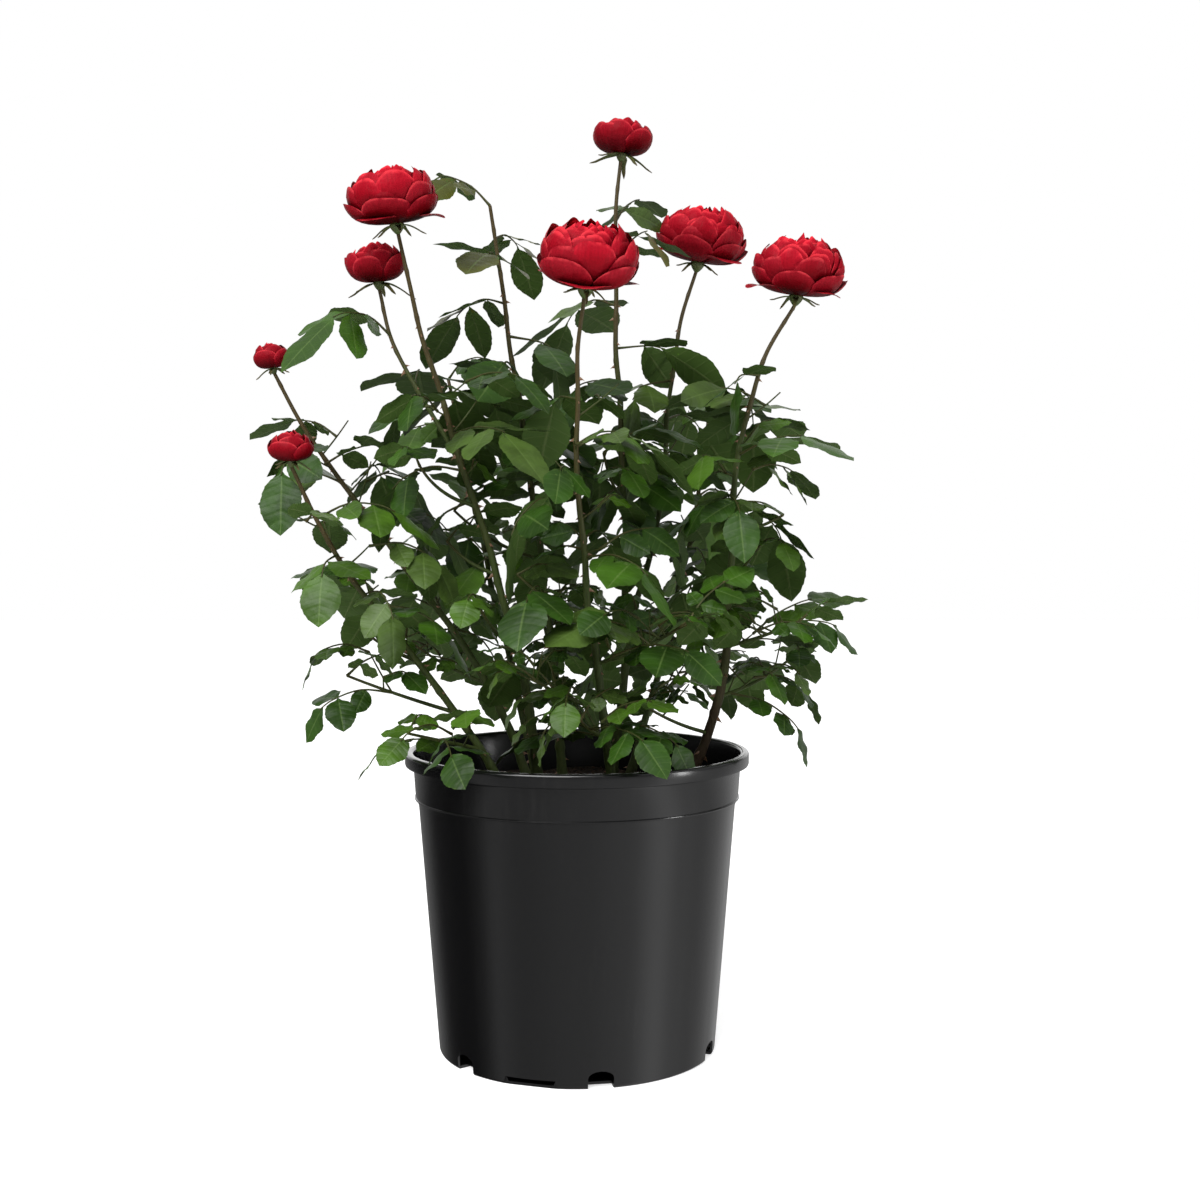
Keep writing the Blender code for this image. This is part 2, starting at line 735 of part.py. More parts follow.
def clean(made):
    """Cut faces into triangles and keep the largest piece: loose scraps and sealed hollows go."""
    raw = bmesh.new()
    raw.from_mesh(made.data)
    bm = cut_to_triangles(raw)
    raw.free()
    pieces = sorted(islands(bm), key=volume_of)
    dropped = [face for piece in pieces[:-1] for face in piece]
    bmesh.ops.delete(bm, geom=dropped, context="FACES")
    bm.to_mesh(made.data)
    bm.free()


def is_closed(mesh):
    """Whether every edge has two faces."""
    bm = bmesh.new()
    bm.from_mesh(mesh)
    closed = all(len(edge.link_faces) == 2 for edge in bm.edges)
    bm.free()
    return closed


def union(name, base, extras, finish, solver):
    """Join solids by one Boolean on a collection, then thin out the needless faces of the joins."""
    made = make(name, base, finish)
    gathered = bpy.data.collections.new(name + "_pieces")
    bpy.context.scene.collection.children.link(gathered)
    for i, extra in enumerate(extras):
        make(f"{name}_{i}", extra, finish, gathered)
    join = made.modifiers.new("join", "BOOLEAN")
    join.operation = "UNION"
    join.operand_type = "COLLECTION"
    join.collection = gathered
    join.solver = solver
    bpy.context.view_layer.update()
    evaluate(made)
    for piece in list(gathered.objects):
        mesh = piece.data
        bpy.data.objects.remove(piece)
        bpy.data.meshes.remove(mesh)
    bpy.data.collections.remove(gathered)
    clean(made)
    thin = made.modifiers.new("thin", "DECIMATE")
    thin.ratio = KEEP_FACES
    evaluate(made)
    return made


def join_mass(name, base, extras, finish):
    """One mass as one closed solid, by the MANIFOLD solver where EXACT leaves it open."""
    for solver in ("EXACT", "MANIFOLD"):
        made = union(name, base, extras, finish, solver)
        if is_closed(made.data):
            return made
        mesh = made.data
        bpy.data.objects.remove(made)
        bpy.data.meshes.remove(mesh)
    raise RuntimeError(name + " has no closed union")


def drain_cutter(turn_deg):
    """A round-topped block across the foot of the pot's wall."""
    turn = math.radians(turn_deg)
    out = Vector((math.cos(turn), math.sin(turn), 0.0))
    side = Vector((-math.sin(turn), math.cos(turn), 0.0))
    half = DRAIN_WIDTH * 0.5
    outline = [(-half, -0.004), (half, -0.004), (half, DRAIN_HEIGHT * 0.55),
               (half * 0.72, DRAIN_HEIGHT * 0.90), (half * 0.30, DRAIN_HEIGHT),
               (-half * 0.30, DRAIN_HEIGHT), (-half * 0.72, DRAIN_HEIGHT * 0.90),
               (-half, DRAIN_HEIGHT * 0.55)]
    verts = []
    for reach in (POT_BASE_R - DRAIN_DEPTH, POT_BASE_R + 0.012):
        for across, up in outline:
            verts.append(out * reach + side * across + Vector((0.0, 0.0, up)))
    n = len(outline)
    faces = [tuple(reversed(range(n))), tuple(range(n, 2 * n))]
    for i in range(n):
        j = (i + 1) % n
        faces.append((i, j, j + n, i + n))
    return verts, faces


def build_pot(finish):
    """The pot: a turned shell with drain notches cut round its foot."""
    pot = make("pot", turned(pot_profile(), POT_SIDES), finish)
    cutters = bpy.data.collections.new("drain_cutters")
    bpy.context.scene.collection.children.link(cutters)
    for i in range(DRAIN_COUNT):
        cutter = make(f"drain_cutter_{i}", drain_cutter(DRAIN_FIRST_DEG + 360.0 * i / DRAIN_COUNT),
                      finish, cutters)
        cutter.hide_render = True
        cutter.display_type = "WIRE"
    cut = pot.modifiers.new("drains", "BOOLEAN")
    cut.operation = "DIFFERENCE"
    cut.operand_type = "COLLECTION"
    cut.collection = cutters
    cut.solver = "EXACT"
    return pot


def calyx(limb, bloom, axis):
    """The hip under a bloom and its turned-back sepals."""
    tip = limb.points[-1]
    hip = hip_length(bloom)
    wide = hip_radius(bloom)
    solids = [tube([tip - axis * 0.004, tip + axis * hip * 0.4, tip + axis * hip],
                   [limb.radii[-1] * 0.9, wide * 0.85, wide], 6)]
    across, over = square_frame(axis, Vector((0.0, 1.0, 0.0)))
    for k in range(5):
        turn = 2 * math.pi * k / 5
        out = across * math.cos(turn) + over * math.sin(turn)
        ahead = (out - axis * SEPAL_DROP).normalized()
        root = tip + axis * hip * 0.55 + out * wide * 0.3
        face = (axis + out * SEPAL_DROP).normalized()
        solids.append(leaflet_solid(Leaflet(root, ahead, face, bloom.sepal, SEPAL_WIDTH, 0.10, 0.0), 0.0))
    return solids


def build():
    """Make every node."""
    for old in list(bpy.data.objects):
        bpy.data.objects.remove(old)
    plastic = material("pot_plastic", (0.012, 0.012, 0.013), 0.35)
    earth = material("soil_mix", (0.030, 0.018, 0.012), 0.95)
    bark = material("cane_bark", (0.090, 0.070, 0.030), 0.70)
    leafage = material("leaf_green", (0.040, 0.110, 0.030), 0.50)
    petal = material("petal_red", (0.450, 0.005, 0.015), 0.60)
    build_pot(plastic)
    make("soil", turned(soil_profile(), POT_SIDES), earth)
    plant = Plant()
    for name, limb in plant.lower.items():
        make(name, tube(limb.points, limb.radii, CANE_SIDES, name.startswith("cane_")), bark)
    for name, (limb, row, leaves) in plant.masses.items():
        extras = []
        for leaf in leaves:
            extras.append(stalk_solid(leaf, 0.0, 0.0))
            extras.extend(leaflet_solid(leaflet, 0.0) for leaflet in leaf.leaflets)
        if getattr(row, "bloom", ""):
            bloom = next(item for item in BLOOMS if item.name == row.bloom)
            extras.extend(calyx(limb, bloom, plant.blooms[bloom.name][1]))
        sides = SHOOT_SIDES if isinstance(row, Shoot) else STEM_SIDES
        join_mass(name, tube(limb.points, limb.radii, sides), extras, leafage)
    for bloom in BLOOMS:
        seat, axis = plant.blooms[bloom.name]
        make(bloom.name, bloom_solid(bloom, seat, axis), petal)


if __name__ == "__main__":
    build()
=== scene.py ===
"""Looks of the potted rose bush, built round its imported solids.

Metres, +Z up, the origin in the middle of the pot's flat underside and -Y the front.
The bush grows by the rule that its solids were grown by, with the same draws, and then
goes on: every leafy stem also gets fine twigs with smaller leaves inside the reach of
its own solid. Surfaces are worked out as arrays and joined, each kind apart.
"""
from __future__ import annotations

import json
import logging
import math
import random
from collections.abc import Callable
from dataclasses import dataclass, field
from enum import Enum

import bpy
import numpy as np
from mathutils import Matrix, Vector
from mathutils.bvhtree import BVHTree

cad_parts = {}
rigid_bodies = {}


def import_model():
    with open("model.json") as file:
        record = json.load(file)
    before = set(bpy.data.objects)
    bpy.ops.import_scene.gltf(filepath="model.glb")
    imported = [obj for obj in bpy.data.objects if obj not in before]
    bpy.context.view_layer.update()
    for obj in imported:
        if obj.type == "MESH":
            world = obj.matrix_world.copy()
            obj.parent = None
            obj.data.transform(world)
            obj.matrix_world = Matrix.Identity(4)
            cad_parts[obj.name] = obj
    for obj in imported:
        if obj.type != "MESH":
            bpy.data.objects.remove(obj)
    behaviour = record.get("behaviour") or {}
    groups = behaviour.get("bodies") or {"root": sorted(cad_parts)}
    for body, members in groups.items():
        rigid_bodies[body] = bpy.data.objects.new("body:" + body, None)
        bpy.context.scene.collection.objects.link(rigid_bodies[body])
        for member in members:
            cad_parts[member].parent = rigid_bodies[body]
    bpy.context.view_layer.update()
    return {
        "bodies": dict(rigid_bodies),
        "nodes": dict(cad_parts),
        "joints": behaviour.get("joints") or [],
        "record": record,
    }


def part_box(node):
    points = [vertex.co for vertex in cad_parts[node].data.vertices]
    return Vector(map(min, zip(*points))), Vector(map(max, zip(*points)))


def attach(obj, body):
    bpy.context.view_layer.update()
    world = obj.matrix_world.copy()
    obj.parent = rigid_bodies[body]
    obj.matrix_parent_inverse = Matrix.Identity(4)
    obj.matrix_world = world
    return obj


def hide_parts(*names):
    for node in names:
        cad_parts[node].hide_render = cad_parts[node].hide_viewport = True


LOG = logging.getLogger("rose_bush")

Solid = tuple[list[Vector], list[tuple[int, ...]]]
Colour = tuple[float, float, float]
Array = np.ndarray

# ------------------------------------------------------------------ growth rule: sizes

SOIL_TOP = 0.212
CLEAR = 0.0003
CANE_STEP = 0.040
FLARE = 1.35
FLARE_HEIGHT = 0.018
ZIGZAG = 0.0011
TAPER_POWER = 0.8
SPLIT_MARGIN = 0.004
GOLDEN = math.radians(137.5)
SHOOT_STEPS = 5
SHOOT_FIRST_RISE = 0.25
SHOOT_FIRST_DEG = 15.0
SHOOT_TAPER = 0.35
STEM_SIDES = 5
LEAFLET = 0.052
LEAFLET_WIDTH = 0.66
LEAFLET_THICK = 0.0011
STALK_R = 0.0011
ROOT_BACK = 0.004
LEAST_LEAFLETS = 3
LOWEST_LEAF = 0.186
FIRST_LEAF = 0.06
LEAF_STRAYS_DEG = (10.0, 9.0)
TRIES = 7

# What a leaf draws: its size, how it is held, how many blades it has and how they hang.
YOUNG_SIZE = 0.74
AGE_GAIN = 0.36
LEAF_VARIES = (0.88, 1.12)
LEAF_LIFT_DEG = (30.0, 62.0)
OLD_SINKS_DEG = 38.0
STALK_DROOP_DEG = (30.0, 85.0)
LEAF_ROLL_DEG = 16.0
THREES_YOUNG = 0.30
THREES_LOST = 0.25
STALK_SPANS = (0.50, 0.44, 0.26)
LOW_PAIR = 0.66
HIGH_PAIR = 0.86
SPREAD_DEG = (56.0, 74.0)
HANG_DEG = (4.0, 34.0)
TWIST_DEG = 14.0
LEAFLET_VARIES = (0.92, 1.08)
CURL = (0.04, 0.20)
FOLD = (0.02, 0.16)

# One number turns every draw of the bush, and each mass draws by its own name as well.
DRAW = 2

SPARE = 0.0007
LIMB_SPARE = 0.0005
STALK_FREE = 0.0045
SHOOT_FREE = 0.004
HIP_SHARE = 0.06
HIP_LENGTH = 0.0020
HIP_R = 0.0016

# Fine twigs, which only the visible bush has.
TWIG_LENGTH = (0.012, 0.042)
TWIG_LIFT_DEG = (10.0, 60.0)
TWIG_STRAYS_DEG = (15.0, 12.0)
TWIG_R = 0.0008
TWIG_BEND = 0.10
TWIG_STEPS = 3
TWIG_LEAVES = 2
TWIG_LEAF_GAP = 0.45
TWIG_LEAF_TURN = 0.6
TWIG_LEAF_STRAYS_DEG = 25.0
TWIG_SECOND = 0.12
TWIG_LEAF = (0.78, 1.02)
TWIG_LEAF_GAIN = 0.12
TWIG_GAIN_FROM = 0.34
TWIG_GAIN_OVER = 0.22
TWIG_TOP = 0.53
SIZE_AT = (0.28, 0.42, 0.58)
SIZE_SHARE = (0.64, 0.88, 1.24)
REACH_MARGIN = 0.008

# A blade's veins: how many cross it on either side, and how far they lean towards its tip.
VEINS = 7.2
VEIN_LEAN = 0.8

# Draws of the crumbs, of the bark and its thorns, and of the greens.
CRUMB_DRAW = 5
BARK_DRAW = 11
LEAF_DRAW = 17


@dataclass(frozen=True)
class Cane:
    """A limb: foot and tip, their sideways lean, its radii and where its leaves begin."""

    name: str
    foot: tuple[float, float]
    foot_lean: float
    tip: tuple[float, float, float]
    tip_lean: float
    foot_r: float
    enters: float
    springs_from: str = ""
    foot_z: float = SOIL_TOP + CLEAR
    tip_r: float = 0.0017
    leaves: int = 6
    bloom: str = ""
    bare: float = 0.0
    old: float = 0.35
    twigs: int = 6

    @property
    def mass(self) -> str:
        """Name of the leafy solid round its top."""
        return self.name.replace("cane_", "crown_").replace("bough_", "crown_bough_")


@dataclass(frozen=True)
class Shoot:
    """A side shoot with its own leafy mass: where it leaves its cane and how it bends."""

    name: str
    cane: str
    height: float
    azimuth: float
    length: float
    rise: float
    turn: float
    radius: float = 0.0016
    leaves: int = 3
    twigs: int = 7
    bare: float = 0.0

    @property
    def mass(self) -> str:
        """Name of its leafy solid."""
        return self.name


class Red(Enum):
    """Petal reds, from the outer petals to the heart: base colour."""

    OUTER = (0.138, 0.0003, 0.0032)
    MIDDLE = (0.182, 0.0004, 0.0045)
    HEART = (0.238, 0.0006, 0.0062)


@dataclass(frozen=True)
class Tier:
    """One whorl of petals: sizes in shares of the bloom's half width and height.

    A petal bulges out to its control radius (bulge times reach) at height low, and its
    rim stands at reach and height, bent outwards by roll. It covers half_deg to either
    side of its middle.
    """

    petals: int
    reach: float
    height: float
    bulge: float
    low: float
    half_deg: float
    roll: float
    frill: float
    tone: Red


class Form(Enum):
    """How far a bloom has opened, as its whorls from the outside in."""

    OPEN = (
        Tier(3, 1.04, 0.13, 0.86, 0.10, 40.0, 0.05, 0.026, Red.OUTER),
        Tier(5, 1.02, 0.42, 0.98, 0.00, 44.0, 0.03, 0.016, Red.OUTER),
        Tier(6, 0.98, 0.61, 1.04, 0.02, 38.0, -0.06, 0.018, Red.OUTER),
        Tier(6, 0.91, 0.76, 1.18, 0.06, 38.0, -0.10, 0.020, Red.MIDDLE),
        Tier(7, 0.78, 0.84, 1.38, 0.12, 38.0, -0.14, 0.024, Red.MIDDLE),
        Tier(7, 0.62, 0.87, 1.52, 0.22, 38.0, -0.14, 0.032, Red.MIDDLE),
        Tier(8, 0.46, 0.86, 1.62, 0.34, 38.0, -0.13, 0.036, Red.HEART),
        Tier(7, 0.31, 0.84, 1.75, 0.44, 44.0, -0.12, 0.040, Red.HEART),
        Tier(5, 0.17, 0.82, 1.90, 0.50, 56.0, -0.08, 0.036, Red.HEART),
    )
    FULL = (
        Tier(3, 1.04, 0.10, 0.86, 0.12, 36.0, 0.05, 0.034, Red.OUTER),
        Tier(6, 1.02, 0.36, 0.98, 0.00, 36.0, 0.03, 0.024, Red.OUTER),
        Tier(7, 1.00, 0.53, 1.03, 0.02, 32.0, -0.04, 0.026, Red.OUTER),
        Tier(8, 0.94, 0.66, 1.12, 0.04, 29.0, -0.08, 0.028, Red.MIDDLE),
        Tier(9, 0.85, 0.77, 1.28, 0.10, 28.0, -0.12, 0.032, Red.MIDDLE),
        Tier(9, 0.71, 0.84, 1.42, 0.18, 28.0, -0.13, 0.036, Red.MIDDLE),
        Tier(9, 0.56, 0.87, 1.55, 0.28, 30.0, -0.13, 0.042, Red.HEART),
        Tier(8, 0.42, 0.87, 1.65, 0.38, 34.0, -0.13, 0.046, Red.HEART),
        Tier(7, 0.28, 0.86, 1.80, 0.44, 42.0, -0.12, 0.048, Red.HEART),
        Tier(5, 0.15, 0.84, 1.95, 0.50, 56.0, -0.08, 0.042, Red.HEART),
    )
    CUP = (
        Tier(5, 1.02, 0.56, 1.00, -0.02, 44.0, -0.02, 0.016, Red.OUTER),
        Tier(5, 0.96, 0.74, 1.20, -0.02, 46.0, -0.10, 0.014, Red.OUTER),
        Tier(6, 0.76, 0.84, 1.42, 0.06, 44.0, -0.13, 0.020, Red.MIDDLE),
        Tier(6, 0.54, 0.90, 1.68, 0.20, 44.0, -0.13, 0.028, Red.MIDDLE),
        Tier(6, 0.36, 0.88, 1.75, 0.34, 48.0, -0.12, 0.034, Red.HEART),
        Tier(5, 0.19, 0.85, 1.95, 0.44, 56.0, -0.08, 0.034, Red.HEART),
    )
    BUD = (
        Tier(4, 0.98, 0.66, 1.20, -0.04, 58.0, -0.10, 0.008, Red.OUTER),
        Tier(4, 0.78, 0.86, 1.46, 0.00, 60.0, -0.18, 0.008, Red.OUTER),
        Tier(4, 0.52, 0.92, 1.75, 0.14, 60.0, -0.18, 0.014, Red.OUTER),
        Tier(4, 0.26, 0.92, 2.00, 0.34, 64.0, -0.12, 0.018, Red.MIDDLE),
    )


@dataclass(frozen=True)
class Bloom:
    """A flower head: its width, height and lean, its sepals' length, its seed and its form."""

    name: str
    width: float
    height: float
    lean: tuple[float, float]
    sepal: float
    seed: int
    form: Form


CANES = (
    Cane("cane_front", (0.030, -0.045), -0.12, (0.007, -0.095, 0.598), 0.14, 0.0046, 0.400,
         bloom="bloom_front", bare=0.065, leaves=5),
    Cane("cane_left", (-0.030, -0.020), -0.05, (-0.137, -0.060, 0.652), -0.18, 0.0050, 0.460,
         bloom="bloom_left", bare=0.120, leaves=3),
    Cane("cane_far_left", (-0.040, 0.020), -0.22, (-0.249, 0.020, 0.552), -0.47, 0.0044, 0.430,
         bloom="bud_upper", bare=0.070, leaves=3),
    Cane("cane_low_left", (-0.052, -0.050), -0.48, (-0.217, -0.080, 0.472), -0.31, 0.0042, 0.360,
         bloom="bud_lower", bare=0.040, leaves=4),
    Cane("cane_middle", (-0.012, 0.030), -0.06, (-0.072, 0.030, 0.690), -0.14, 0.0046, 0.490,
         leaves=8),
    Cane("cane_tall", (0.028, 0.045), 0.19, (0.036, 0.055, 0.732), 0.10, 0.0048, 0.480,
         bloom="bloom_top", bare=0.045, leaves=7),
    Cane("cane_right", (0.089, 0.000), 0.53, (0.1745, -0.015, 0.603), 0.67, 0.0052, 0.435,
         bloom="bloom_right", bare=0.050, leaves=5, old=0.75),
    Cane("cane_back_left", (-0.035, 0.060), -0.25, (-0.120, 0.175, 0.560), -0.20, 0.0042, 0.400,
         leaves=5),
    Cane("cane_back_right", (0.045, 0.070), 0.30, (0.120, 0.180, 0.540), 0.10, 0.0042, 0.400,
         leaves=5),
    Cane("bough_left", (0.0, 0.0), -0.30, (-0.158, -0.012, 0.616), 0.00, 0.0024, 0.525,
         springs_from="cane_left", foot_z=0.450, leaves=3, bloom="bloom_small", bare=0.030),
    Cane("bough_right", (0.0, 0.0), 0.42, (0.101, 0.080, 0.644), 0.39, 0.0030, 0.460,
         springs_from="cane_tall", foot_z=0.355, leaves=4, bloom="bloom_back", bare=0.085),
)

SHOOTS = (
    Shoot("mass_right_low", "cane_right", 0.290, 20.0, 0.075, 35.0, 10.0, twigs=16),
    Shoot("mass_right_out", "cane_right", 0.330, -30.0, 0.060, 25.0, 10.0, twigs=12),
    Shoot("mass_right_in", "cane_right", 0.258, 220.0, 0.075, 30.0, 0.0, leaves=2, twigs=18),
    Shoot("mass_right_high", "cane_right", 0.420, -10.0, 0.040, 30.0, 0.0, leaves=2),
    Shoot("mass_right_mid", "cane_right", 0.385, 60.0, 0.050, 35.0, 0.0, leaves=2),
    Shoot("mass_front_low", "cane_front", 0.262, -110.0, 0.070, 20.0, 10.0, twigs=18),
    Shoot("mass_front_side", "cane_front", 0.320, -20.0, 0.080, 35.0, -10.0, twigs=16),
    Shoot("mass_front_left", "cane_front", 0.285, 215.0, 0.080, 35.0, 10.0, twigs=18),
    Shoot("mass_front_mid", "cane_front", 0.360, 180.0, 0.060, 45.0, 10.0, twigs=12),
    Shoot("mass_left_low", "cane_low_left", 0.255, 215.0, 0.060, 15.0, 0.0, twigs=16),
    Shoot("mass_left_out", "cane_low_left", 0.285, 170.0, 0.085, 20.0, 0.0, twigs=12),
    Shoot("mass_left_mid", "cane_low_left", 0.325, 150.0, 0.045, 30.0, 0.0, leaves=2),
    Shoot("mass_left_front", "cane_left", 0.330, 250.0, 0.080, 40.0, 0.0, twigs=16),
    Shoot("mass_left_inner", "cane_left", 0.390, 150.0, 0.050, 45.0, 0.0, leaves=2),
    Shoot("mass_left_high", "cane_left", 0.445, 190.0, 0.050, 60.0, 0.0, leaves=2),
    Shoot("mass_far_left_low", "cane_far_left", 0.300, 150.0, 0.075, 30.0, 0.0, leaves=2, twigs=14),
    Shoot("mass_far_left_back", "cane_far_left", 0.340, 110.0, 0.080, 35.0, 0.0, twigs=12),
    Shoot("mass_middle_low", "cane_middle", 0.320, 100.0, 0.080, 40.0, 0.0, twigs=14),
    Shoot("mass_middle_side", "cane_middle", 0.400, 190.0, 0.080, 45.0, 0.0, leaves=2),
    Shoot("mass_middle_high", "cane_middle", 0.460, 60.0, 0.050, 60.0, 0.0, leaves=2),
    Shoot("mass_tall_low", "cane_tall", 0.300, 80.0, 0.075, 40.0, 0.0, twigs=14),
    Shoot("mass_tall_high", "cane_tall", 0.450, -110.0, 0.060, 60.0, 0.0, leaves=2),
    Shoot("mass_back_left_low", "cane_back_left", 0.280, 120.0, 0.070, 30.0, 0.0, twigs=14),
    Shoot("mass_back_left_high", "cane_back_left", 0.360, 40.0, 0.060, 40.0, 0.0, leaves=2),
    Shoot("mass_back_right_low", "cane_back_right", 0.280, 50.0, 0.070, 30.0, 0.0, twigs=14),
    Shoot("mass_back_right_high", "cane_back_right", 0.360, 0.0, 0.060, 40.0, 0.0, leaves=2),
)

BLOOMS = (
    Bloom("bloom_front", 0.079, 0.060, (0.12, -0.30), 0.016, 3, Form.OPEN),
    Bloom("bloom_left", 0.072, 0.052, (-0.12, -0.15), 0.018, 14, Form.OPEN),
    Bloom("bud_upper", 0.030, 0.024, (-0.15, -0.05), 0.013, 5, Form.BUD),
    Bloom("bud_lower", 0.036, 0.027, (0.00, -0.15), 0.014, 8, Form.BUD),
    Bloom("bloom_small", 0.050, 0.036, (-0.10, -0.10), 0.025, 21, Form.CUP),
    Bloom("bloom_top", 0.051, 0.034, (0.12, 0.00), 0.028, 33, Form.CUP),
    Bloom("bloom_back", 0.078, 0.056, (0.18, -0.10), 0.018, 41, Form.FULL),
    Bloom("bloom_right", 0.075, 0.056, (0.12, -0.12), 0.018, 52, Form.FULL),
)


# ------------------------------------------------------------------ growth rule


def hermite(start: float, end: float, lean_start: float, lean_end: float,
            rise: float, share: float) -> float:
    """Cubic between two values, with its slope per metre of rise given at both ends.

    Args:
        start: Value at the foot.
        end: Value at the tip.
        lean_start: Slope at the foot.
        lean_end: Slope at the tip.
        rise: Height between foot and tip.
        share: Where on the curve, 0 at the foot and 1 at the tip.

    Returns:
        The value there.
    """
    s2 = share * share
    s3 = s2 * share
    value = (2 * s3 - 3 * s2 + 1) * start + (3 * s2 - 2 * s3) * end
    return value + ((s3 - 2 * s2 + share) * lean_start + (s3 - s2) * lean_end) * rise


def guide_for(direction: Vector) -> Vector:
    """The axis of the frame that lies least along a direction."""
    least = min(range(3), key=lambda k: abs(direction[k]))
    return Vector([1.0 if k == least else 0.0 for k in range(3)])


def square_frame(direction: Vector, guide: Vector) -> tuple[Vector, Vector]:
    """Two unit vectors square to a direction, the first also square to the guide."""
    across = direction.cross(guide).normalized()
    return across, across.cross(direction).normalized()


def tube(points: list[Vector], radii: list[float], sides: int) -> Solid:
    """A tapering closed tube along points, its ends square to it.

    Args:
        points: The centre line.
        radii: Its radius at each point.
        sides: How many sides it has.

    Returns:
        Its points and faces.
    """
    verts = []
    faces = []
    guide = guide_for(points[-1] - points[0])
    for i, point in enumerate(points):
        ahead = points[min(i + 1, len(points) - 1)] - points[max(i - 1, 0)]
        across, over = square_frame(ahead.normalized(), guide)
        for k in range(sides):
            turn = 2 * math.pi * k / sides
            verts.append(point + (across * math.cos(turn) + over * math.sin(turn)) * radii[i])
    for i in range(len(points) - 1):
        for k in range(sides):
            a = i * sides + k
            b = i * sides + (k + 1) % sides
            faces.append((a, a + sides, b + sides, b))
    faces.append(tuple(range(sides)))
    faces.append(tuple(reversed(range((len(points) - 1) * sides, len(points) * sides))))
    return verts, faces


@dataclass
class Limb:
    """A stem's centre line and radii, from its foot to its tip."""

    points: list[Vector]
    radii: list[float]

    def at(self, height: float) -> tuple[Vector, Vector, float]:
        """Centre, direction and radius where the limb passes a height.

        Args:
            height: The height; above the tip it counts as the tip.

        Returns:
            Centre, direction and radius there.
        """
        for i in range(len(self.points) - 1):
            low = self.points[i]
            high = self.points[i + 1]
            if low.z <= height <= high.z:
                share = (height - low.z) / (high.z - low.z)
                radius = self.radii[i] + (self.radii[i + 1] - self.radii[i]) * share
                return low.lerp(high, share), (high - low).normalized(), radius
        return self.points[-1], (self.points[-1] - self.points[-2]).normalized(), self.radii[-1]

    def along(self, share: float) -> tuple[Vector, float]:
        """Point and radius at a share of the limb's stretches.

        Args:
            share: 0 at the foot and 1 at the tip.

        Returns:
            Point and radius there.
        """
        place = share * (len(self.points) - 1)
        k = min(int(place), len(self.points) - 2)
        return self.points[k].lerp(self.points[k + 1], place - k), self.radii[k]

    def rise(self) -> float:
        """Straight distance from foot to tip."""
        return (self.points[-1] - self.points[0]).length


def seat_beside(parent: Limb, height: float, direction: Vector, radius: float) -> Vector:
    """Where a side limb starts: its end disc is CLEAR off the parent's skin.

    Args:
        parent: The limb that it springs from.
        height: Height of the joint.
        direction: Which way the side limb goes.
        radius: The side limb's radius.

    Returns:
        The middle of its end disc.
    """
    centre, axis, thick = parent.at(height)
    out = direction - axis * direction.dot(axis)
    out.normalize()
    return centre + out * (thick + CLEAR + radius * abs(direction.dot(axis)))


def cane_limb(cane: Cane, limbs: dict[str, Limb]) -> Limb:
    """The whole centre line of a cane: cubic sideways, straight in depth, with a zigzag.

    Args:
        cane: Its row.
        limbs: The limbs made so far, by name, for one that springs from another.

    Returns:
        The limb.
    """
    foot_x, foot_y = cane.foot
    low = cane.foot_z
    if cane.springs_from:
        parent = limbs[cane.springs_from]
        centre, _, _ = parent.at(cane.foot_z)
        depth = (cane.tip[1] - centre.y) / (cane.tip[2] - cane.foot_z)
        start = Vector((cane.foot_lean, depth, 1.0)).normalized()
        seat = seat_beside(parent, cane.foot_z, start, cane.foot_r)
        foot_x, foot_y = seat.x, seat.y
        low = seat.z
    rise = cane.tip[2] - low
    count = max(4, round(rise / CANE_STEP))
    points = []
    radii = []
    for i in range(count + 1):
        share = i / count
        z = low + rise * share
        x = hermite(foot_x, cane.tip[0], cane.foot_lean, cane.tip_lean, rise, share)
        y = foot_y + (cane.tip[1] - foot_y) * share
        sway = ZIGZAG if 0 < i < count else 0.0
        points.append(Vector((x + sway * math.cos(i * GOLDEN), y + sway * math.sin(i * GOLDEN), z)))
        radii.append(cane.foot_r + (cane.tip_r - cane.foot_r) * share ** TAPER_POWER)
    if not cane.springs_from:
        points.insert(1, points[0].lerp(points[1], FLARE_HEIGHT / (points[1].z - points[0].z)))
        radii.insert(1, radii[0])
        radii[0] *= FLARE
    return Limb(points, radii)


def upper_part(limb: Limb, height: float) -> Limb:
    """The limb above the height where it enters its leafy mass.

    Args:
        limb: The whole limb.
        height: Where it enters.

    Returns:
        Its upper part, CLEAR above the lower one.
    """
    centre, direction, radius = limb.at(height)
    above = [i for i, point in enumerate(limb.points) if point.z > height + SPLIT_MARGIN]
    return Limb([centre + direction * CLEAR] + [limb.points[i] for i in above],
                [radius] + [limb.radii[i] for i in above])


def heading(azimuth: float, lift: float) -> Vector:
    """The unit vector at an azimuth and at a lift above level, both in radians."""
    return Vector((math.cos(azimuth) * math.cos(lift), math.sin(azimuth) * math.cos(lift), math.sin(lift)))


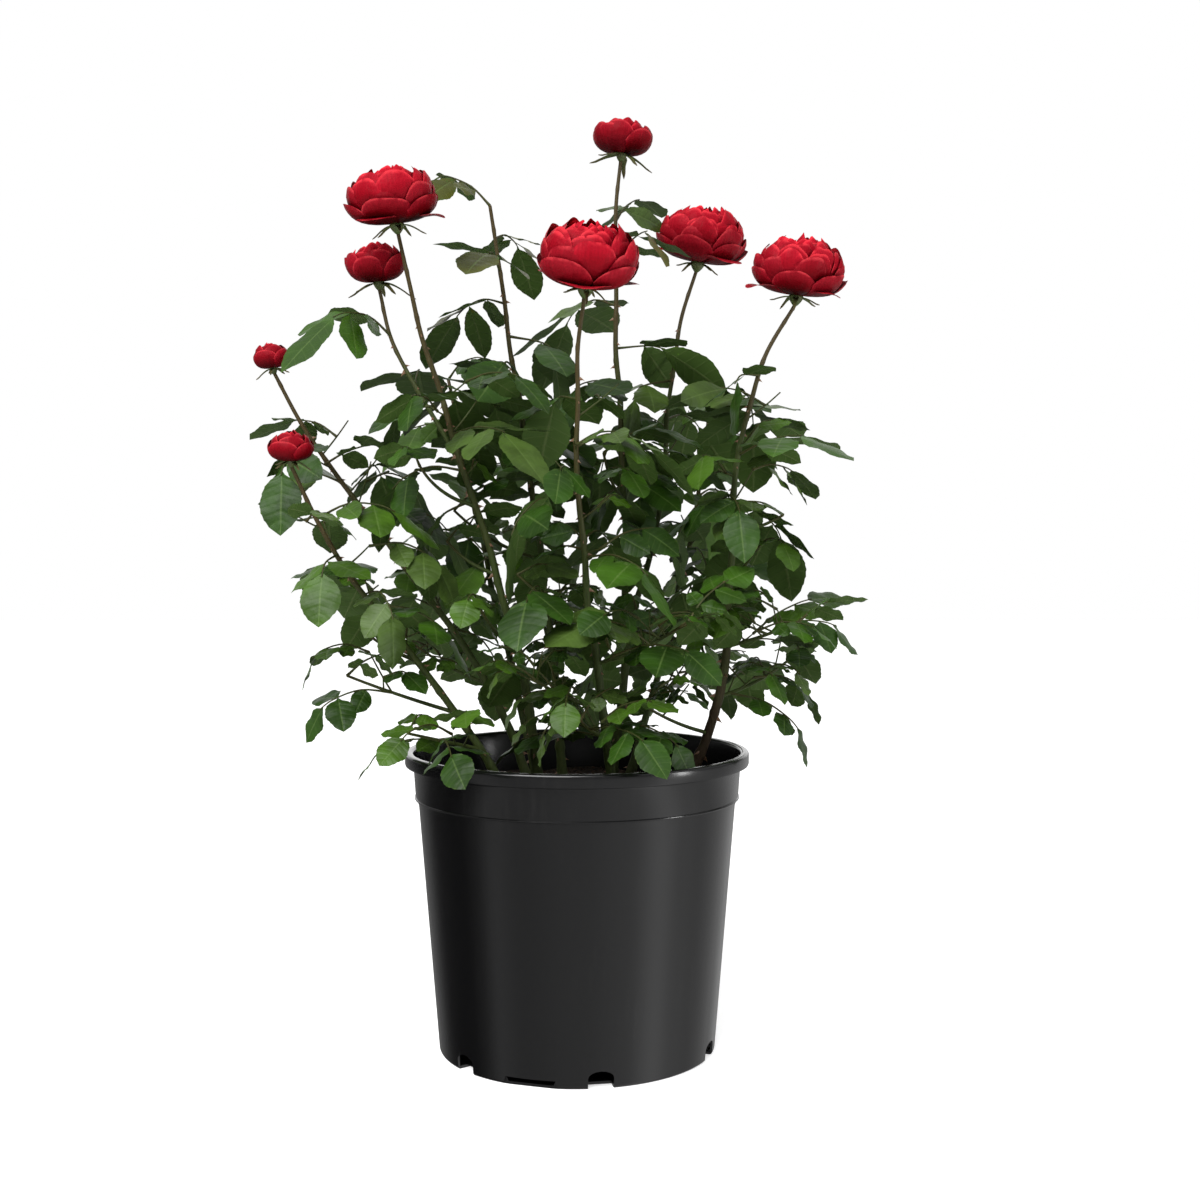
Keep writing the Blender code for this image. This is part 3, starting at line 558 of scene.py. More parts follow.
def shoot_limb(shoot: Shoot, limbs: dict[str, Limb]) -> Limb:
    """A side shoot's centre line: out of the cane's side, then bending up.

    Args:
        shoot: Its row.
        limbs: The canes' limbs by name.

    Returns:
        The limb.
    """
    azimuth = math.radians(shoot.azimuth)
    first = Vector((math.cos(azimuth), math.sin(azimuth), SHOOT_FIRST_RISE)).normalized()
    points = [seat_beside(limbs[shoot.cane], shoot.height, first, shoot.radius)]
    radii = [shoot.radius]
    for i in range(SHOOT_STEPS):
        share = (i + 0.5) / SHOOT_STEPS
        lift = math.radians(SHOOT_FIRST_DEG + (shoot.rise - SHOOT_FIRST_DEG) * share)
        ahead = heading(azimuth + math.radians(shoot.turn) * share, lift)
        points.append(points[-1] + ahead * (shoot.length / SHOOT_STEPS))
        radii.append(shoot.radius * (1.0 - SHOOT_TAPER * (i + 1) / SHOOT_STEPS))
    return Limb(points, radii)


@dataclass
class Leaflet:
    """One blade: root, direction, normal, length, width, tip curl and edge fold."""

    root: Vector
    ahead: Vector
    normal: Vector
    length: float
    width: float
    curl: float
    fold: float

    def solid(self, spare: float) -> Solid:
        """The blade as a swollen block of ten faces, for the touching test.

        Args:
            spare: How much it is swollen by.

        Returns:
            Its points and faces.
        """
        side = self.ahead.cross(self.normal)
        half = self.width * 0.5 + spare
        verts = []
        for along, across, lift in ((0.004, 0.0, -spare), (0.30, 0.94, -spare), (0.66, 0.82, -spare),
                                    (1.0 + spare / self.length, 0.0, -spare), (0.66, -0.82, -spare),
                                    (0.30, -0.94, -spare), (0.22, 0.0, LEAFLET_THICK + spare)):
            drop = self.curl * along * along
            rise = self.fold * abs(across) * self.width * 0.5
            verts.append(self.root + self.ahead * (self.length * along) + side * (half * across)
                         + self.normal * (lift + rise - drop * self.length))
        faces = [(i, (i + 1) % 6, 6) for i in range(6)]
        faces.extend(((3, 2, 1), (3, 1, 0), (3, 0, 5), (3, 5, 4)))
        return verts, faces


@dataclass
class Leaf:
    """A compound leaf: its stalk's points and its leaflets."""

    stalk: list[Vector]
    leaflets: list[Leaflet]

    def stalk_solid(self, spare: float, skip: float) -> Solid:
        """The stalk as a swollen three-sided tube, less a first stretch.

        Args:
            spare: How much it is swollen by.
            skip: How much is left off at its root.

        Returns:
            Its points and faces.
        """
        points = list(self.stalk)
        points[0] = points[0] + (points[1] - points[0]).normalized() * skip
        last = len(points) - 1
        return tube(points, [STALK_R * (1.15 - 0.35 * i / last) + spare for i in range(last + 1)], 3)


def plan_leaf(rng: random.Random, root: Vector, azimuth: float, age: float, scale: float = 1.0) -> Leaf:
    """Draw one compound leaf of three or five leaflets on an arching stalk.

    Args:
        rng: Where the draws come from.
        root: Where its stalk leaves the stem.
        azimuth: Which way it points, seen from above.
        age: 0 at the shoot's tip to 1 at its foot.
        scale: Size against a full-grown leaf.

    Returns:
        The leaf.
    """
    grown = YOUNG_SIZE + AGE_GAIN * min(1.0, age * 2.0)
    size = LEAFLET * scale * grown * rng.uniform(*LEAF_VARIES)
    lift = math.radians(rng.uniform(*LEAF_LIFT_DEG) - OLD_SINKS_DEG * age)
    droop = math.radians(rng.uniform(*STALK_DROOP_DEG))
    roll = math.radians(rng.gauss(0.0, LEAF_ROLL_DEG))
    pairs = 1 if rng.random() < THREES_YOUNG - THREES_LOST * age else 2
    spans = [STALK_SPANS[0]] + [STALK_SPANS[1]] * (pairs - 1) + [STALK_SPANS[2]]
    length = sum(spans)
    outwards = Vector((math.cos(azimuth), math.sin(azimuth), 0.0))
    stalk = [root]
    leaflets = []
    gone = 0.0
    for i, span in enumerate(spans):
        lift_here = lift - droop * (gone + span * 0.5) / length
        gone += span
        ahead = outwards * math.cos(lift_here) + Vector((0.0, 0.0, math.sin(lift_here)))
        flat = Vector((0.0, 0.0, math.cos(lift_here))) - outwards * math.sin(lift_here)
        side = ahead.cross(flat)
        normal = flat * math.cos(roll) + side * math.sin(roll)
        side = ahead.cross(normal)
        stalk.append(stalk[-1] + ahead * (span * size))
        last = i == len(spans) - 1
        share = 1.0 if last else (LOW_PAIR if i == 0 and pairs == 2 else HIGH_PAIR)
        for turn in ((0.0,) if last else (1.0, -1.0)):
            spread = turn * math.radians(rng.uniform(*SPREAD_DEG))
            hang = math.radians(rng.uniform(*HANG_DEG))
            along = ahead * math.cos(spread) + side * math.sin(spread)
            blade = along * math.cos(hang) - normal * math.sin(hang)
            face = along * math.sin(hang) + normal * math.cos(hang)
            twist = math.radians(rng.gauss(0.0, TWIST_DEG))
            face = face * math.cos(twist) + blade.cross(face) * math.sin(twist)
            reach = size * share * rng.uniform(*LEAFLET_VARIES)
            leaflets.append(Leaflet(stalk[-1] - ahead * ROOT_BACK, blade, face, reach,
                                    reach * LEAFLET_WIDTH * rng.uniform(*LEAFLET_VARIES),
                                    rng.uniform(*CURL), rng.uniform(*FOLD)))
    return Leaf(stalk, leaflets)


@dataclass
class Space:
    """What already stands: a new piece may not touch it."""

    trees: list[tuple[BVHTree, list[float], list[float]]] = field(default_factory=list)

    def add(self, solids: list[Solid]) -> None:
        """Take solids in as one standing piece."""
        self.trees.append(self.tree(solids))

    def add_node(self, name: str, frame: dict) -> None:
        """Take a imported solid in."""
        mesh = frame["nodes"][name].data
        self.add([([v.co.copy() for v in mesh.vertices], [tuple(p.vertices) for p in mesh.polygons])])

    @staticmethod
    def tree(solids: list[Solid]) -> tuple[BVHTree, list[float], list[float]]:
        """A search tree of solids with the box round them.

        Args:
            solids: Points and faces of each.

        Returns:
            The tree, and the box's lowest and highest corners.
        """
        verts = []
        faces = []
        for points, sides in solids:
            start = len(verts)
            verts.extend(points)
            faces.extend(tuple(k + start for k in face) for face in sides)
        low = [min(v[k] for v in verts) for k in range(3)]
        high = [max(v[k] for v in verts) for k in range(3)]
        return BVHTree.FromPolygons(verts, faces), low, high

    def touches(self, solids: list[Solid]) -> bool:
        """Whether solids cut anything that stands.

        Args:
            solids: The solids of a new piece.

        Returns:
            True where they do.
        """
        new, low, high = self.tree(solids)
        for old, old_low, old_high in self.trees:
            apart = any(low[k] > old_high[k] or high[k] < old_low[k] for k in range(3))
            if not apart and old.overlap(new):
                return True
        return False


def clear_of(leaf: Leaf, stem_r: float, space: Space) -> Leaf | None:
    """The leaf without the blades that would touch something.

    Args:
        leaf: The leaf as drawn.
        stem_r: Radius of its stem, whose skin its stalk starts in.
        space: What already stands; the leaf is added to it.

    Returns:
        What is left of it, or None where that is too little.
    """
    stalk = leaf.stalk_solid(SPARE, stem_r + STALK_FREE)
    if space.touches([stalk]):
        return None
    kept = [blade for blade in leaf.leaflets if not space.touches([blade.solid(SPARE)])]
    if len(kept) < LEAST_LEAFLETS or kept[-1] is not leaf.leaflets[-1]:
        return None
    solids = [blade.solid(SPARE) for blade in kept]
    if min(point.z for verts, _ in solids for point in verts) < LOWEST_LEAF:
        return None
    space.add(solids + [stalk])
    return Leaf(leaf.stalk, kept)


def grow_mass(limb: Limb, name: str, count: int, space: Space, last: float) -> list[Leaf]:
    """Set compound leaves round a limb by the golden angle, skipping those that touch.

    Args:
        limb: The stem.
        name: Name of the mass, which seeds its draws.
        count: How many leaves are tried.
        space: What already stands.
        last: Share of the limb where the top leaf sits.

    Returns:
        The leaves that found room.
    """
    rng = random.Random(f"{name} {DRAW}")
    leaves = []
    spin = rng.uniform(0.0, 2 * math.pi)
    for i in range(count):
        share = FIRST_LEAF + (last - FIRST_LEAF) * (i / max(1, count - 1))
        root, radius = limb.along(share)
        for attempt in range(TRIES):
            strays = rng.gauss(0.0, LEAF_STRAYS_DEG[0] + LEAF_STRAYS_DEG[1] * attempt)
            azimuth = spin + i * GOLDEN + math.radians(strays)
            leaf = clear_of(plan_leaf(rng, root, azimuth, 1.0 - share), radius, space)
            if leaf:
                leaves.append(leaf)
                break
    return leaves


def hip_length(bloom: Bloom) -> float:
    """Length of the hip under a bloom."""
    return HIP_SHARE * bloom.width + HIP_LENGTH


@dataclass
class Mass:
    """One leafy mass: its stem, its row, its leaves and its fine twigs."""

    limb: Limb
    row: Cane | Shoot
    leaves: list[Leaf] = field(default_factory=list)
    twigs: list[Limb] = field(default_factory=list)
    fine: list[Leaf] = field(default_factory=list)


def grow_twigs(mass: Mass, name: str, space: Space, low: Vector, high: Vector) -> None:
    """Grow fine twigs with small leaves out of a mass's stem, inside the mass's own box.

    Args:
        mass: The mass, which gets the twigs and their leaves.
        name: Name of the mass, which seeds the draws.
        space: What already stands.
        low: Lowest corner of the mass's solid.
        high: Highest corner of the mass's solid.
    """
    rng = random.Random(f"{name} twigs {DRAW}")
    spin = rng.uniform(0.0, 2 * math.pi)
    top = 1.0 - mass.row.bare / mass.limb.rise()
    for i in range(mass.row.twigs):
        share = top * (i + 0.5) / mass.row.twigs
        root, radius = mass.limb.along(share)
        if root.z > TWIG_TOP:
            continue
        for attempt in range(TRIES):
            strays = rng.gauss(0.0, TWIG_STRAYS_DEG[0] + TWIG_STRAYS_DEG[1] * attempt)
            azimuth = spin + (i + 0.5) * GOLDEN + math.radians(strays)
            ahead = heading(azimuth, math.radians(rng.uniform(*TWIG_LIFT_DEG)))
            length = rng.uniform(*TWIG_LENGTH)
            bend = Vector((0.0, 0.0, TWIG_BEND * length))
            points = [root + ahead * (length * k / TWIG_STEPS) + bend * (k / TWIG_STEPS) ** 2
                      for k in range(TWIG_STEPS + 1)]
            body = tube([points[0] + ahead * (radius + STALK_FREE)] + points[2:],
                        [TWIG_R + SPARE] * TWIG_STEPS, 3)
            if length > radius + 2 * STALK_FREE and space.touches([body]):
                continue
            twig = Limb(points, [TWIG_R * (1.0 - 0.1 * k) for k in range(TWIG_STEPS + 1)])
            grown = []
            for k in range(TWIG_LEAVES):
                spot, _ = twig.along(1.0 - TWIG_LEAF_GAP * k)
                turn = azimuth + k * TWIG_LEAF_TURN * GOLDEN
                turn += math.radians(rng.gauss(0.0, TWIG_LEAF_STRAYS_DEG))
                scale = rng.uniform(*TWIG_LEAF) * (1.0 - TWIG_SECOND * k)
                scale += TWIG_LEAF_GAIN * min(1.0, max(0.0, (spot.z - TWIG_GAIN_FROM) / TWIG_GAIN_OVER))
                leaf = plan_leaf(rng, spot, turn, 0.5 * (1.0 - share), scale)
                inside = all(low[c] - REACH_MARGIN < (blade.root + blade.ahead * blade.length)[c]
                             < high[c] + REACH_MARGIN for blade in leaf.leaflets for c in range(3))
                leaf = clear_of(leaf, TWIG_R, space) if inside else None
                if leaf:
                    grown.append(leaf)
            if grown:
                space.add([body])
                mass.twigs.append(twig)
                mass.fine.extend(grown)
                break


@dataclass
class Growth:
    """The whole bush worked out: limbs, masses, and where each bloom sits."""

    frame: dict
    space: Space = field(default_factory=Space)
    limbs: dict[str, Limb] = field(default_factory=dict)
    masses: dict[str, Mass] = field(default_factory=dict)
    seats: dict[str, tuple[Vector, Vector]] = field(default_factory=dict)

    def set_out(self) -> None:
        """Lay out the limbs, the blooms' seats and the stems of the masses."""
        self.space.add_node("pot", self.frame)
        self.space.add_node("soil", self.frame)
        for cane in CANES:
            self.limbs[cane.name] = cane_limb(cane, self.limbs)
        for cane in CANES:
            limb = self.limbs[cane.name]
            self.masses[cane.mass] = Mass(upper_part(limb, cane.enters), cane)
            self.space.add([self.guard(limb)])
        for bloom in BLOOMS:
            cane = next(row for row in CANES if row.bloom == bloom.name)
            axis = Vector((bloom.lean[0], bloom.lean[1], 1.0)).normalized()
            seat = self.limbs[cane.name].points[-1] + axis * (hip_length(bloom) + CLEAR)
            self.seats[bloom.name] = (seat, axis)
            self.space.add_node(bloom.name, self.frame)
        for shoot in SHOOTS:
            limb = shoot_limb(shoot, self.limbs)
            self.space.add([self.guard(limb, SHOOT_FREE)])
            self.masses[shoot.name] = Mass(limb, shoot)

    @staticmethod
    def guard(limb: Limb, skip: float = 0.0) -> Solid:
        """A limb as a slightly swollen tube for the touching test.

        Args:
            limb: The limb.
            skip: How much is left off at its foot.

        Returns:
            Points and faces of the tube.
        """
        points = list(limb.points)
        points[0] = points[0] + (points[1] - points[0]).normalized() * skip
        return tube(points, [radius + LIMB_SPARE for radius in limb.radii], STEM_SIDES)

    def leaf_out(self) -> None:
        """Grow the leaves of every mass, then the fine twigs of every mass."""
        for name, mass in self.masses.items():
            last = 1.0 - mass.row.bare / mass.limb.rise()
            mass.leaves = grow_mass(mass.limb, name, mass.row.leaves, self.space, last)
        for name, mass in self.masses.items():
            grow_twigs(mass, name, self.space, *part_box(name))


# ------------------------------------------------------------------ surfaces


def as_rows(vectors: list[Vector]) -> Array:
    """Vectors as the rows of an array."""
    return np.array([tuple(vector) for vector in vectors])


def unit(vectors: Array) -> Array:
    """Vectors along the last axis made one long."""
    return vectors / np.maximum(np.linalg.norm(vectors, axis=-1, keepdims=True), 1e-12)


def smooth_line(points: Array, steps: int) -> Array:
    """Points on the Catmull-Rom curve through given ones.

    Between two points b and c, with neighbours a and d, the place at share t is
    (2b + (c - a) t + (2a - 5b + 4c - d) t^2 + (3b - a - 3c + d) t^3) / 2.

    Args:
        points: Given points, or numbers, one a row.
        steps: How many stretches each pair of points gets.

    Returns:
        The finer row of points.
    """
    line = np.concatenate([2 * points[:1] - points[1:2], points, 2 * points[-1:] - points[-2:-1]])
    a, b, c, d = line[:-3], line[1:-2], line[2:-1], line[3:]
    t = (np.arange(steps) / steps).reshape((1, -1) + (1,) * (points.ndim - 1))
    a, b, c, d = (row[:, None] for row in (a, b, c, d))
    fine = 0.5 * (2 * b + (c - a) * t + (2 * a - 5 * b + 4 * c - d) * t ** 2
                  + (3 * b - a - 3 * c + d) * t ** 3)
    return np.concatenate([fine.reshape((-1,) + points.shape[1:]), points[-1:]])


def length_along(path: Array) -> Array:
    """How far along a path each of its points lies."""
    return np.concatenate([[0.0], np.cumsum(np.linalg.norm(np.diff(path, axis=0), axis=1))])


def circle(sides: int) -> Array:
    """Angles spaced evenly round a circle."""
    return 2 * np.pi * np.arange(sides) / sides


@dataclass
class Shell:
    """Surfaces gathered as arrays, to be made one mesh.

    Every point also carries a place (u, v) on its own surface and an age from 0 to 1.
    """

    points: list[Array] = field(default_factory=list)
    corners: list[Array] = field(default_factory=list)
    sizes: list[Array] = field(default_factory=list)
    slots: list[Array] = field(default_factory=list)
    places: list[Array] = field(default_factory=list)
    ages: list[Array] = field(default_factory=list)
    count: int = 0

    def add(self, points: Array, faces: list[Array], places: Array | None = None,
            ages: Array | float = 0.0, slots: list[int] | None = None) -> None:
        """Take a surface in.

        Args:
            points: Its points, one a row.
            faces: Arrays of faces, each array with faces of one size.
            places: (u, v) of each point.
            ages: Age of each point, or one for all.
            slots: Material slot of each array of faces.
        """
        total = len(points)
        self.points.append(points)
        self.places.append(np.zeros((total, 2)) if places is None else places)
        self.ages.append(np.broadcast_to(np.asarray(ages, float), (total,)))
        for group, slot in zip(faces, slots or [0] * len(faces)):
            self.corners.append((group + self.count).ravel())
            self.sizes.append(np.full(len(group), group.shape[1]))
            self.slots.append(np.full(len(group), slot))
        self.count += total

    def make(self, name: str, finishes: list[bpy.types.Material], sharp_deg: float) -> bpy.types.Object:
        """Make one smooth-shaded object of all that was gathered.

        Args:
            name: The object's name.
            finishes: Its materials in slot order.
            sharp_deg: Edges that turn by more than this stay sharp.

        Returns:
            The object, at the origin.
        """
        mesh = bpy.data.meshes.new(name)
        points = np.concatenate(self.points)
        corners = np.concatenate(self.corners).astype(np.int32)
        sizes = np.concatenate(self.sizes)
        mesh.vertices.add(len(points))
        mesh.vertices.foreach_set("co", points.astype(np.float32).ravel())
        mesh.loops.add(len(corners))
        mesh.loops.foreach_set("vertex_index", corners)
        mesh.polygons.add(len(sizes))
        starts = np.concatenate([[0], np.cumsum(sizes)[:-1]]).astype(np.int32)
        mesh.polygons.foreach_set("loop_start", starts)
        mesh.polygons.foreach_set("material_index", np.concatenate(self.slots).astype(np.int32))
        mesh.update(calc_edges=True)
        places = np.concatenate(self.places)[corners]
        mesh.uv_layers.new(name="grain").data.foreach_set("uv", places.astype(np.float32).ravel())
        ages = mesh.attributes.new("age", "FLOAT", "POINT")
        ages.data.foreach_set("value", np.concatenate(self.ages).astype(np.float32))
        for finish in finishes:
            mesh.materials.append(finish)
        mesh.shade_smooth()
        mesh.set_sharp_from_angle(angle=math.radians(sharp_deg))
        made = bpy.data.objects.new(name, mesh)
        bpy.context.scene.collection.objects.link(made)
        return made


def grid_faces(rows: int, columns: int, closed: bool = False) -> Array:
    """Quads of a grid of points that is numbered row by row.

    Args:
        rows: Rows of points.
        columns: Points in a row.
        closed: Whether each row runs round to its first point.

    Returns:
        Four corners a face.
    """
    i = np.arange(rows - 1)[:, None] * columns
    j = np.arange(columns if closed else columns - 1)[None, :]
    n = (j + 1) % columns
    return np.stack([i + j, i + n, i + n + columns, i + j + columns], -1).reshape(-1, 4)


def tube_faces(rows: int, sides: int) -> list[Array]:
    """Quads between rings of points, then fans to two end points that are numbered last.

    Args:
        rows: How many rings.
        sides: Points in a ring.

    Returns:
        The wall, the fan at the first ring and the fan at the last.
    """
    j = np.arange(sides)
    n = (j + 1) % sides
    high = (rows - 1) * sides
    foot = np.stack([n, j, np.full(sides, rows * sides)], -1)
    top = np.stack([j + high, n + high, np.full(sides, rows * sides + 1)], -1)
    return [grid_faces(rows, sides, True), foot, top]


def copies(faces: Array, count: int, each: int) -> Array:
    """The faces of `count` like surfaces in a row, from those of the first and its `each` points."""
    step = (np.arange(count) * each)[:, None, None]
    return (faces[None] + step).reshape(-1, faces.shape[-1])


def sweep(shell: Shell, path: Array, radii: Array, sides: int, ages: Array | float = 0.0,
          relief: Array | None = None) -> None:
    """Carry a circle along a path: the point at angle a is path + r (across cos a + over sin a).

    Args:
        shell: Where the closed tube goes.
        path: The centre line, one point a row.
        radii: Radius at each point.
        sides: Points round it.
        ages: Age along it, or one for all.
        relief: Share by which the radius grows at each point and angle.
    """
    ahead = unit(np.gradient(path, axis=0))
    across = unit(np.cross(ahead, np.array(guide_for(Vector(path[-1] - path[0])))))
    over = np.cross(across, ahead)
    turn = circle(sides)[None, :, None]
    swell = 1.0 if relief is None else 1.0 + relief[..., None]
    ring = across[:, None] * np.cos(turn) + over[:, None] * np.sin(turn)
    rings = path[:, None] + ring * radii[:, None, None] * swell
    rows = len(path)
    points = np.concatenate([rings.reshape(-1, 3), path[:1], path[-1:] + ahead[-1:] * radii[-1] * 0.3])
    along = length_along(path)
    places = np.stack(np.broadcast_arrays(np.arange(sides)[None] / sides, along[:, None]), -1)
    places = np.concatenate([places.reshape(-1, 2), [[0.5, 0.0], [0.5, along[-1]]]])
    ages = np.broadcast_to(np.asarray(ages, float), (rows,))
    ages = np.concatenate([np.repeat(ages, sides), ages[:1], ages[-1:]])
    shell.add(points, [group[:, ::-1] for group in tube_faces(rows, sides)], places, ages)


def turned(shell: Shell, profile: Array, sides: int, lift: Array | float = 0.0) -> None:
    """Turn a half section about Z, from its first point on the axis to its last.

    Args:
        shell: Where the closed surface goes.
        profile: (radius, height) of each point, from the underside outwards and up.
        sides: Points round it.
        lift: What is added to the height at each inner point and angle.
    """
    turn = circle(sides)
    radius, height = profile[1:-1, :1], profile[1:-1, 1:]
    rings = np.stack(np.broadcast_arrays(radius * np.cos(turn), radius * np.sin(turn), height + lift), -1)
    ends = np.array([[0.0, 0.0, profile[0, 1]], [0.0, 0.0, profile[-1, 1]]])
    shell.add(np.concatenate([rings.reshape(-1, 3), ends]), tube_faces(len(radius), sides))


def sheet(shell: Shell, front: Array, thick: float, places: Array, ages: Array | float = 0.0,
          slot: int = 0) -> None:
    """Close a batch of grids into thin blades: the back is the front less thick times its normal.

    The two share their rim, where the blade has no thickness.

    Args:
        shell: Where they go.
        front: Points of every grid: grid, row, column, xyz.
        thick: Thickness in the middle.
        places: (u, v) by row and column.
        ages: Age of each grid, or one for all.
        slot: Their material slot.
    """
    grids, rows, columns, _ = front.shape
    normal = unit(np.cross(np.gradient(front, axis=2), np.gradient(front, axis=1)))
    inner = (front - normal * thick)[:, 1:-1, 1:-1].reshape(grids, -1, 3)
    points = np.concatenate([front.reshape(grids, -1, 3), inner], 1)
    back = np.arange(rows * columns).reshape(rows, columns)
    back[1:-1, 1:-1] = rows * columns + np.arange(inner.shape[1]).reshape(rows - 2, columns - 2)
    fore = grid_faces(rows, columns)
    rear = back.ravel()[fore][:, ::-1]
    each = points.shape[1]
    place = np.concatenate([places.reshape(-1, 2), places[1:-1, 1:-1].reshape(-1, 2)])
    age = np.repeat(np.broadcast_to(np.asarray(ages, float), (grids,)), each)
    shell.add(points.reshape(-1, 3), [copies(fore, grids, each), copies(rear, grids, each)],
              np.tile(place, (grids, 1)), age, [slot, slot])


@dataclass
class BladeShape:
    """A toothed leaflet as a template in (along, across), set on many leaflets at once.

    Half its width at share t is t^p (1 - t)^q, scaled to 1 at its widest. Teeth stand
    out of it between the rows. The back runs straight from its rib to the same rim.
    """

    teeth: int = 9
    stalk: float = 0.05
    point: float = 0.82
    tooth_out: float = 0.036
    tooth_at: float = 0.70
    side_line: float = 0.52
    fold_gain: float = 1.3
    arch: float = 0.16
    ripple: float = 0.0009
    ripples: float = 2.3
    thick: float = 0.0004

    def layout(self) -> tuple[Array, list[Array], list[Array]]:
        """The template: rib, side lines, edges and tooth tips in turn, then the back's rib.

        Returns:
            Four rows (along, across, depth and how far it stands out of the outline, by
            point), then the faces of the front and of the back.
        """
        rows = np.concatenate([[0.0], np.linspace(self.stalk + 0.02, 1.0, self.teeth + 1)])
        inner = rows[1:-1]
        tooth = inner[:-1] + self.tooth_at * np.diff(inner)
        strips = [(rows, 0.0, 0.0, 0.0)]
        for line, far, out in ((inner, self.side_line, 0.0), (inner, 1.0, 0.0), (tooth, 1.0, self.tooth_out)):
            strips += [(line, far, 0.0, out), (line, -far, 0.0, out)]
        strips.append((inner, 0.0, 1.0, 0.0))
        template = np.concatenate([np.stack(np.broadcast_arrays(*strip)) for strip in strips], 1)
        starts = np.cumsum([len(strip[0]) for strip in strips[:-1]])
        under = starts[6]
        n = len(inner)
        last = n + 1
        k = np.arange(n - 1)
        rib = k + 1
        front: list[list[Array]] = [[], [], []]
        back: list[list[Array]] = [[], []]
        for mid, edge, tip, turn in ((*starts[0:6:2], 1), (*starts[1:6:2], -1)):
            front[0].append(np.array([[0, mid, 1], [0, edge, mid], [mid + n - 1, edge + n - 1, last],
                                      [n, mid + n - 1, last]])[:, ::turn])
            front[1].append(np.stack([rib, mid + k, mid + k + 1, rib + 1], -1)[:, ::turn])
            front[2].append(np.stack([mid + k, edge + k, tip + k, edge + k + 1, mid + k + 1], -1)[:, ::turn])
            back[0].append(np.array([[0, under, edge], [under + n - 1, last, edge + n - 1]])[:, ::turn])
            back[1].append(np.stack([under + k, under + k + 1, edge + k + 1, tip + k, edge + k],
                                    -1)[:, ::turn])
        return (template, [np.concatenate(group) for group in front],
                [np.concatenate(group) for group in back])

    def half_width(self, along: Array, blunt: Array) -> Array:
        """Half the width at each share, 1 at the widest, for each blade's own power p.

        Args:
            along: Shares from foot to tip.
            blunt: Power p of each blade.

        Returns:
            Half widths by blade and share.
        """
        share = np.clip((along[None] - self.stalk) / (1.0 - self.stalk), 1e-4, 1.0)
        peak = blunt / (blunt + self.point)
        norm = peak ** blunt * (1.0 - peak) ** self.point
        return share ** blunt * (1.0 - share) ** self.point / norm

    def lay(self, shell: Shell, blades: list[Leaflet], blunt: Array, broad: Array,
            long: Array, tone: int, under: int, rng: np.random.Generator) -> None:
        """Set the template on leaflets.

        Args:
            shell: Where the blades go.
            blades: The leaflets.
            blunt: Power p of each blade: small for a round foot.
            broad: Width against length of each, against the drawn one.
            long: Length of each against its drawn length.
            tone: Material slot of the fronts.
            under: Material slot of the backs.
            rng: Draws of the ripples.
        """
        (along, across, depth, out), front, back = self.layout()
        root, ahead, normal = (as_rows([getattr(b, key) for b in blades])
                               for key in ("root", "ahead", "normal"))
        length, width, curl, fold = (np.array([getattr(b, key) for b in blades])[:, None]
                                     for key in ("length", "width", "curl", "fold"))
        length = length * long[:, None]
        width = width * long[:, None]
        reach = across * (self.half_width(along, blunt[:, None]) + out) * width * 0.5 * broad[:, None]
        phase = rng.uniform(0, 2 * np.pi, (len(blades), 2))
        lift = fold * np.abs(reach) * self.fold_gain - self.arch * reach ** 2 / (width * 0.5)
        lift = lift - curl * along ** 2 * length
        lift += self.ripple * np.abs(across) * np.sin(2 * np.pi * self.ripples * along + phase[:, :1]
                                                      + np.sign(across) * phase[:, 1:])
        lift -= self.thick * depth
        points = (root[:, None] + ahead[:, None] * (along * length)[..., None]
                  + np.cross(ahead, normal)[:, None] * reach[..., None] + normal[:, None] * lift[..., None])
        count, each = len(blades), len(along)
        places = np.tile(np.stack([0.5 + 0.5 * across, along], -1), (count, 1))
        shell.add(points.reshape(-1, 3), [copies(group, count, each) for group in front + back], places,
                  np.repeat(rng.uniform(0, 1, count), each), [tone] * len(front) + [under] * len(back))


# ------------------------------------------------------------------ shader nodes


class Nodes:
    """A node tree under the hand: makes its nodes and feeds their sockets."""

    def __init__(self, tree: bpy.types.NodeTree) -> None:
        """Take the tree."""
        self.tree = tree

    def node(self, kind: str, settings: dict[str, object] | None = None,
             sockets: dict[str | int, object] | None = None) -> bpy.types.Node:
        """One node.

        Args:
            kind: Its type.
            settings: Its settings; "stops" is a ramp's row of (place, grey level).
            sockets: Values or links of its inputs, by name or number.

        Returns:
            The node.
        """
        made = self.tree.nodes.new(kind)
        for key, value in (settings or {}).items():
            if key == "stops":
                self.set_stops(made.color_ramp, value)
            else:
                setattr(made, key, value)
        for key, value in (sockets or {}).items():
            self.feed(made.inputs[key], value)
        return made

    @staticmethod
    def set_stops(ramp: bpy.types.ColorRamp, stops: list[tuple[float, float]]) -> None:
        """Give a ramp its stops, eased between them.

        Args:
            ramp: The ramp.
            stops: Place and grey level of each.
        """
        ramp.interpolation = "EASE"
        while len(ramp.elements) < len(stops):
            ramp.elements.new(0.5)
        for stop, (place, level) in zip(ramp.elements, stops):
            stop.position = place
            stop.color = (level, level, level, 1.0)

    def feed(self, socket: bpy.types.NodeSocket, value: object) -> None:
        """Link a wire or a socket to an input, or set the input's own value.

        Args:
            socket: The input.
            value: What feeds it.
        """
        if isinstance(value, Wire):
            value = value.socket
        if isinstance(value, bpy.types.NodeSocket):
            self.tree.links.new(value, socket)
        elif isinstance(value, tuple) and len(value) == 3 and socket.type == "RGBA":
            socket.default_value = (*value, 1.0)
        else:
            socket.default_value = value


